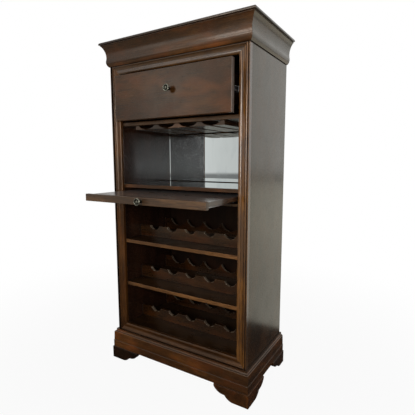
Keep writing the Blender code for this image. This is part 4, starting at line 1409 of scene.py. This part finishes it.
@dataclass
class GlassBay:
    """The mirrored bay: its shelf, its two mirrors and the stemware rack."""

    mirror_bevel: float = 0.0042
    mirror_dish: float = 0.0018
    mirror_ease: float = 0.0004
    shelf_ease: float = 0.0006
    shelf_recess: float = 0.0033
    shelf_border: float = 0.012
    rail_width: float = 0.092
    end_width: float = 0.052
    neck: float = 0.020
    rail_height: float = 0.018
    lip: float = 0.003
    shoulder_sag: float = 0.0045
    shoulder_steps: int = 14
    pitch: float = 0.112
    rail_count: int = 3
    shelf_board: int = 36
    rack_board: int = 37
    first_cut: int = 50
    cut_tones: tuple[float, ...] = (0.55, 0.22, 1.35, 0.25, 0.60)

    def shoulder(self, out: float, inner: float) -> list[Point]:
        """Draws the hollow from a rail's lip, at one distance, to its neck at another."""
        return arc((out, self.lip), (inner, self.rail_height), self.shoulder_sag, self.shoulder_steps)

    def rail_section(self) -> list[Point]:
        """Draws a whole rail's section, from the middle of its underside.

        Returns:
            The points.
        """
        half = self.rail_width / 2
        right = [(half, 0.0), (half, self.lip), *self.shoulder(half, self.neck / 2)]
        return right + [(-x, y) for x, y in reversed(right)]

    def end_section(self) -> list[Point]:
        """Draws an end rail's section, from its outer lower corner inwards.

        Returns:
            The points.
        """
        inner = self.end_width - (self.rail_width - self.neck) / 2
        points = [(0.0, 0.0), (self.end_width, 0.0), (self.end_width, self.lip)]
        return points + self.shoulder(self.end_width, inner) + [(0.0, self.rail_height)]

    def build(self) -> None:
        """Makes the mirrors, the shelf and the rack."""
        self.build_mirrors()
        low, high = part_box("bar_shelf")
        depth, thick = high.y - low.y, high.z - low.z
        section = [(0.0, -thick), (depth, -thick), (depth, -self.shelf_recess),
                   (self.shelf_border, -self.shelf_recess), (self.shelf_border, 0.0), (0.0, 0.0)]
        shelf = Piece.moulded("bar_shelf_board", section, high.x - low.x, (0, low.y, high.z), Y_AXIS, Z_AXIS)
        shelf.ease(self.shelf_ease, 2).dress(OUTSIDE.material(Grain.ALONG_X, self.shelf_board))
        shelf.mount(Body.CABINET, Slot.STAIN, "bar_shelf")
        self.build_rack()

    def build_mirrors(self) -> None:
        """Makes the back mirror with its cut border, and the mirror let into the shelf."""
        back = Piece.block("mirror_back_glass", *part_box("mirror_back"))
        shape = bmesh.new()
        shape.from_mesh(back.obj.data)
        front = min(shape.faces, key=lambda face: face.calc_center_median().y)
        bmesh.ops.inset_region(shape, faces=[front], thickness=self.mirror_bevel, depth=-self.mirror_dish)
        shape.to_mesh(back.obj.data)
        shape.free()
        shelf = Piece.block("mirror_shelf_glass", *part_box("mirror_shelf")).ease(self.mirror_ease, 2)
        back.dress(MIRROR_MATERIAL).mount(Body.CABINET, Slot.MIRROR, "mirror_back")
        shelf.dress(MIRROR_MATERIAL).mount(Body.CABINET, Slot.MIRROR, "mirror_shelf")

    def build_rack(self) -> None:
        """Makes the stemware rack's rails."""
        nodes = [f"stem_rail_{index + 1}" for index in range(self.rail_count)]
        low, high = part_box(nodes[0])
        place = ((low.x + high.x) / 2, (low.y + high.y) / 2, low.z)
        cuts = [RAIL_END.material(Grain.ALONG_X, number, tone)
                for number, tone in enumerate(self.cut_tones, self.first_cut)]
        rails = Piece.moulded("stem_rails", self.rail_section(), high.y - low.y, place, X_AXIS, Z_AXIS,
                              count=self.rail_count, pitch=(self.pitch, 0.0, 0.0))
        self.finish_rails(rails, cuts[1:-1], nodes)
        ends = (("stem_end_left", X_AXIS, cuts[0]), ("stem_end_right", -X_AXIS, cuts[-1]))
        for node, inwards, cut in ends:
            low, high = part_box(node)
            place = (low.x if inwards.x > 0 else high.x, (low.y + high.y) / 2, low.z)
            rail = Piece.moulded(f"{node}_rail", self.end_section(), high.y - low.y, place, inwards, Z_AXIS)
            self.finish_rails(rail, [cut], [node])

    def finish_rails(self, piece: Piece, cuts: Sequence[Material], nodes: Sequence[str]) -> None:
        """Finishes one or more rails, with the sawn wood on their ends, and mounts them.

        Args:
            piece: The rails, side by side.
            cuts: The finish on the ends of each, from the left.
            nodes: The nodes that they stand for.
        """
        last = len(cuts) - 1

        def place(face: Face) -> int:
            """Finds the place of a face's finish: 0 along a rail, and more on the ends."""
            rail = round(face.center.x / self.pitch + last / 2)
            return 1 + min(max(rail, 0), last) if abs(face.normal.y) > SQUARE else 0

        wood = OUTSIDE.material(Grain.ALONG_Y, self.rack_board)
        piece.smooth().dress(wood, *cuts, rule=place).mount(Body.CABINET, Slot.STAIN, *nodes)


@dataclass
class Knob:
    """A turned knob with a raised rim and a button in its dish."""

    radius: float = 0.0145
    length: float = 0.0255
    head_thick: float = 0.0065
    rim: float = 0.0034
    rim_bulge: float = 0.0014
    dish_depth: float = 0.0044
    dish_fullness: float = 2.6
    dish_turn: float = 0.1
    button_radius: float = 0.0040
    button_bulge: float = 0.0010
    neck_radius: float = 0.0038
    neck_sag: float = 0.0008
    foot_radius: float = 0.0058
    foot_thick: float = 0.0025
    steps: int = 72

    def profile(self) -> list[Point]:
        """Draws the knob's half section: X from its axis, Y forwards from the face that it stands on.

        Returns:
            The points.
        """
        dish = self.length - self.dish_depth
        button_edge = (self.button_radius, self.length - self.button_bulge)
        rim_inside = (self.radius - self.rim, self.length - self.button_bulge)
        rim_outside = (self.radius, self.length - self.rim)
        head_back = (self.neck_radius, self.length - self.head_thick)
        points = [(0.0, self.length)]
        points += arc(points[0], button_edge, self.button_bulge / 4, 8)
        points += [(self.button_radius, dish)]
        points += arc((self.button_radius, dish), rim_inside, -self.dish_depth / self.dish_fullness, 12)
        points += arc(rim_inside, rim_outside, self.rim_bulge, 14)
        points += arc(rim_outside, head_back, self.rim_bulge / 2, 12)
        points += arc(head_back, (self.foot_radius, self.foot_thick), -self.neck_sag, 12)
        return points + [(self.foot_radius, SEAT), (0.0, SEAT)]

    def build(self, node: str, body: Body) -> None:
        """Turns the knob.

        Args:
            node: The node that it stands for.
            body: The body that it rides on.
        """
        low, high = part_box(node)
        centre = Vector(((low.x + high.x) / 2, low.y + self.length, (low.z + high.z) / 2))
        shape = bmesh.new()
        line = [shape.verts.new(centre + Vector((x, -y, 0.0))) for x, y in self.profile()]
        edges = [shape.edges.new(pair) for pair in zip(line, line[1:])]
        bmesh.ops.spin(shape, geom=line + edges, cent=centre, axis=Y_AXIS, angle=math.tau, steps=self.steps)
        piece = Piece(f"{node}_turned", welded(node, shape)).smooth(35.0)
        piece.dress(BRASS_MATERIAL, DISH_MATERIAL, rule=lambda face: self.is_dish(face, centre))
        piece.mount(body, Slot.BRASS, node)

    def is_dish(self, face: Face, centre: Vector) -> bool:
        """Tells whether a face lies in the dish of a knob with this centre."""
        across = math.hypot(face.center.x - centre.x, face.center.z - centre.z)
        return self.button_radius < across < self.radius - self.rim and face.normal.y < -self.dish_turn


class Slides:
    """The drawer's and the tray's steel slides."""

    def build(self) -> None:
        """Gives the slides their finish."""
        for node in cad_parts:
            if "_slide_" in node:
                keep_shape(node, STEEL_MATERIAL)


@dataclass
class Drawer:
    """The drawer: its front, its box and its knob."""

    front_ease: float = 0.0026
    front_tone: float = 0.80
    front_board: int = 40
    back_board: int = 41
    first_box_board: int = 42
    end_board: int = 49
    end_tone: float = 1.7
    end_turn: float = 0.6
    knob: Knob = field(default_factory=Knob)

    def build(self) -> None:
        """Makes the drawer."""
        front = Board("drawer_front", Grain.ALONG_X, self.front_board, Body.DRAWER, ease=self.front_ease,
                      tone=self.front_tone).build()
        # The front's right end takes the painted reflection.
        front.dress(OUTSIDE.material(Grain.ALONG_X, self.front_board, self.front_tone),
                    END_REFLECTION.material(Grain.ALONG_Y, self.end_board, self.end_tone),
                    rule=lambda face: face.normal.x > self.end_turn)
        Board("drawer_back", Grain.ALONG_X, self.back_board, Body.DRAWER, INSIDE, Slot.INSIDE).build()
        box = ("drawer_side_left", "drawer_side_right", "drawer_bottom")
        for number, node in enumerate(box, self.first_box_board):
            keep_shape(node, INSIDE.material(Grain.ALONG_Y, number))
        self.knob.build("drawer_knob", Body.DRAWER)


@dataclass
class Tray:
    """The pull-out tray: its board, its front lip and its knob."""

    board_ease: float = 0.0012
    board_tone: float = 0.9
    board_number: int = 46
    lip_ease: float = 0.0018
    lip_tone: float = 1.5
    lip_number: int = 47
    knob: Knob = field(default_factory=Knob)

    def build(self) -> None:
        """Makes the tray."""
        Board("tray_board", Grain.ALONG_X, self.board_number, Body.TRAY, TRAY_TOP,
              ease=self.board_ease, tone=self.board_tone).build()
        Board("tray_lip", Grain.ALONG_X, self.lip_number, Body.TRAY, LIP,
              ease=self.lip_ease, tone=self.lip_tone).build()
        self.knob.build("tray_knob", Body.TRAY)


@dataclass(frozen=True)
class Lamp:
    """A soft lamp that looks at the middle of the cabinet."""

    name: str
    place: Place
    size: tuple[float, float]
    power: float
    mirrored: bool = True
    lighting: bool = True
    target: Place = (0, 0, 0.8)

    def hang(self) -> None:
        """Hangs the lamp."""
        light = bpy.data.lights.new(self.name, "AREA")
        light.shape = "RECTANGLE"
        light.size, light.size_y = self.size
        light.energy = self.power
        lamp = bpy.data.objects.new(self.name, light)
        bpy.context.scene.collection.objects.link(lamp)
        lamp.visible_glossy = self.mirrored
        lamp.visible_diffuse = self.lighting
        lamp.location = self.place
        lamp.rotation_euler = (Vector(self.target) - lamp.location).to_track_quat("-Z", "Y").to_euler()


@dataclass
class Studio:
    """The floor, the light and the camera."""

    focal_pixels: float = 354.91
    sensor: float = 36.0
    clip_start: float = 0.01
    camera_place: Place = (0.91104, -1.27519, 0.97580)
    yaw: float = math.radians(31.60)
    pitch: float = math.radians(-7.48)
    roll: float = math.radians(0.04)
    floor_half: float = 14.0
    floor_colour: Colour = (0.38, 0.38, 0.375)
    speck_colour: Colour = (0.8, 0.8, 0.8)
    speck_scale: float = 40.0
    speck_span: Span = (0.3, 0.7)
    speck_share: float = 0.03
    floor_roughness: float = 0.75
    mirrored_floor: Colour = (0.024, 0.013, 0.007)
    mirrored_wall: Colour = (1.0, 1.0, 0.98)
    mirrored_sweep: Colour = (1.0, 0.98, 0.87)
    floor_glow: float = 0.94
    glow_span: Span = (0.5, 2.2)
    far_floor: float = 0.32
    far_span: Span = (0.6, 2.6)
    near_sweep: float = 0.68
    sweep_rise: Span = (0.60, 0.66)
    sweep_span: Span = (0.6, 5.0)
    horizon_light: float = 0.30
    zenith_light: float = 0.10
    zenith: float = 0.9
    front_wall: float = 0.66
    front_width: Span = (0.74, 0.93)
    front_height: Span = (0.08, 0.18)
    left_wall: float = 0.35
    left_start: Span = (-0.80, -0.60)
    left_end: Span = (-0.96, -0.88)
    right_wall: float = 0.25
    right_start: Span = (0.35, 0.50)
    right_end: Span = (0.80, 0.92)
    right_height: Span = (-0.06, 0.10)
    right_front: Span = (0.0, 0.2)
    skirting: Span = (-0.040, -0.030)
    behind: Span = (-0.1, 0.1)
    lamps: tuple[Lamp, ...] = (
        Lamp("key", (0.50, -1.45, 1.10), (0.35, 0.35), 9.5, mirrored=False),
        Lamp("softbox", (-1.90, -2.75, 1.85), (0.80, 0.80), 1.8),
        Lamp("overhead", (-1.00, -2.55, 3.00), (0.70, 0.60), 10.0),
        Lamp("window", (0.35, -3.20, 1.30), (1.60, 1.10), 46.0, lighting=False),
    )

    def build(self) -> None:
        """Sets the stage."""
        half = self.floor_half
        corners = [(-half, -half, 0), (half, -half, 0), (half, half, 0), (-half, half, 0)]
        mesh = bpy.data.meshes.new("floor")
        mesh.from_pydata(corners, [], [(0, 1, 2, 3)])
        Piece("floor", mesh).dress(self.floor_material()).obj
        self.surround_with_light()
        for lamp in self.lamps:
            lamp.hang()
        self.place_camera()

    def floor_material(self) -> Material:
        """Makes a pale floor that runs into the white of the background.

        Returns:
            The material.
        """
        material, graph, shader = new_material("pale_floor")
        own = graph.out("ShaderNodeTexCoord", output="Object")
        rays = graph.add("ShaderNodeLightPath").outputs
        noise = graph.noise(own, self.speck_scale, 3.0)
        speck = graph.spread(noise, *self.speck_span, 0.0, self.speck_share)
        colour = graph.blend(speck, self.floor_colour, self.speck_colour)
        colour = graph.blend(rays["Is Glossy Ray"], colour, self.mirrored_floor)
        graph.fill(shader, {"Base Color": colour, "Roughness": self.floor_roughness})
        distance = graph.out("ShaderNodeVectorMath", {0: own}, "Value", operation="LENGTH")
        towards = graph.out("ShaderNodeSeparateXYZ", {0: own}, "Y")
        direct = graph.spread(distance, *self.glow_span, self.floor_glow, 1.0)
        sweep = graph.math("MULTIPLY", graph.spread(towards, *self.sweep_rise),
                           graph.spread(distance, *self.sweep_span, self.near_sweep, 1.0))
        mirrored = graph.math("MAXIMUM", graph.spread(distance, *self.far_span, 0.0, self.far_floor), sweep)
        shown = graph.choose(rays["Is Camera Ray"], mirrored, direct)
        seen = graph.blend(rays["Is Camera Ray"], self.mirrored_sweep, WHITE)
        glow = graph.out("ShaderNodeEmission", {"Color": seen, "Strength": 1.0})
        share = graph.math("MULTIPLY", shown, self.seen_rays(graph, rays))
        both = graph.out("ShaderNodeMixShader", {0: share, 1: shader.outputs[0], 2: glow})
        graph.give(graph.tree.nodes["Material Output"].inputs["Surface"], both)
        return material

    def seen_rays(self, graph: Graph, rays: Outputs) -> Socket:
        """Finds the rays that show the background: those of the camera, mirrors and glass."""
        kinds = (rays[f"Is {kind} Ray"] for kind in ("Camera", "Glossy", "Transmission"))
        return graph.math("MAXIMUM", *kinds)

    def surround_with_light(self) -> None:
        """Lights the scene with a white surround, in which the lacquer mirrors a pale room."""
        world = bpy.data.worlds.new("surround")
        world.use_nodes = True
        bpy.context.scene.world = world
        graph = Graph(world.node_tree)
        rays = graph.add("ShaderNodeLightPath").outputs
        direction = graph.out("ShaderNodeTexCoord", output="Generated")
        x, y, z = graph.add("ShaderNodeSeparateXYZ", {0: direction}).outputs
        shown = graph.choose(rays["Is Camera Ray"], self.room(graph, x, y, z), 1.0)
        sky = graph.spread(z, 0.0, self.zenith, self.horizon_light, self.zenith_light)
        behind = graph.math("MULTIPLY", graph.spread(y, *self.behind), rays["Is Glossy Ray"])
        graph.fill(world.node_tree.nodes["Background"], {
            "Color": graph.blend(behind, WHITE, self.mirrored_wall),
            "Strength": graph.choose(self.seen_rays(graph, rays), sky, shown),
        })

    def room(self, graph: Graph, x: Socket, y: Socket, z: Socket) -> Socket:
        """Draws the room that the lacquer mirrors, with darker walls in front and at both sides.

        Args:
            graph: The world's graph.
            x: How far a ray looks to the right.
            y: How far it looks to the back.
            z: How far it looks up.

        Returns:
            How bright the room is where the ray looks.
        """
        ahead = graph.math("MULTIPLY", y, -1.0)
        in_front = graph.math("MULTIPLY", graph.spread(ahead, *self.front_width),
                              graph.spread(z, *self.front_height, 1.0, 0.0))
        at_left = graph.math("MAXIMUM", graph.spread(x, *self.left_start, self.left_wall, 1.0),
                             graph.spread(x, *self.left_end, 1.0, 0.0))
        at_right = graph.math("MULTIPLY", graph.spread(z, *self.right_height),
                              graph.spread(x, *self.right_start), graph.spread(x, *self.right_end, 1.0, 0.0),
                              graph.spread(ahead, *self.right_front))
        return graph.math("MULTIPLY", graph.spread(in_front, 0.0, 1.0, 1.0, self.front_wall), at_left,
                          graph.spread(at_right, 0.0, 1.0, 1.0, self.right_wall),
                          graph.spread(z, *self.skirting, self.far_floor, 1.0))

    def place_camera(self) -> None:
        """Places the camera where the photograph was taken from."""
        lens = bpy.data.cameras.new("camera")
        lens.sensor_width = self.sensor
        lens.lens = self.focal_pixels / IMAGE_SIZE * self.sensor
        lens.clip_start = self.clip_start
        camera = bpy.data.objects.new("camera", lens)
        bpy.context.scene.collection.objects.link(camera)
        across, up = math.cos(self.pitch), math.sin(self.pitch)
        forward = Vector((-math.sin(self.yaw) * across, math.cos(self.yaw) * across, up))
        turn = forward.to_track_quat("-Z", "Y").to_matrix().to_4x4() @ Matrix.Rotation(-self.roll, 4, "Z")
        camera.rotation_euler = turn.to_euler()
        camera.location = self.camera_place
        bpy.context.scene.camera = camera
        bpy.context.scene.view_settings.view_transform = "Standard"


MIRROR_MATERIAL = MIRROR.material()
BRASS_MATERIAL = BRASS.material()
DISH_MATERIAL = DISH.material()
STEEL_MATERIAL = STEEL.material()


def main() -> None:
    """Builds the cabinet and its studio."""
    logging.basicConfig(level=logging.INFO, format="%(name)s: %(message)s")
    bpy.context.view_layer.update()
    for part in (FaceFrame(), Crown(), Base(), Carcass(), GlassBay(), Slides(), Drawer(), Tray(), Studio()):
        LOG.info("building the %s", type(part).__name__)
        part.build()


if __name__ == "__main__":
    main()
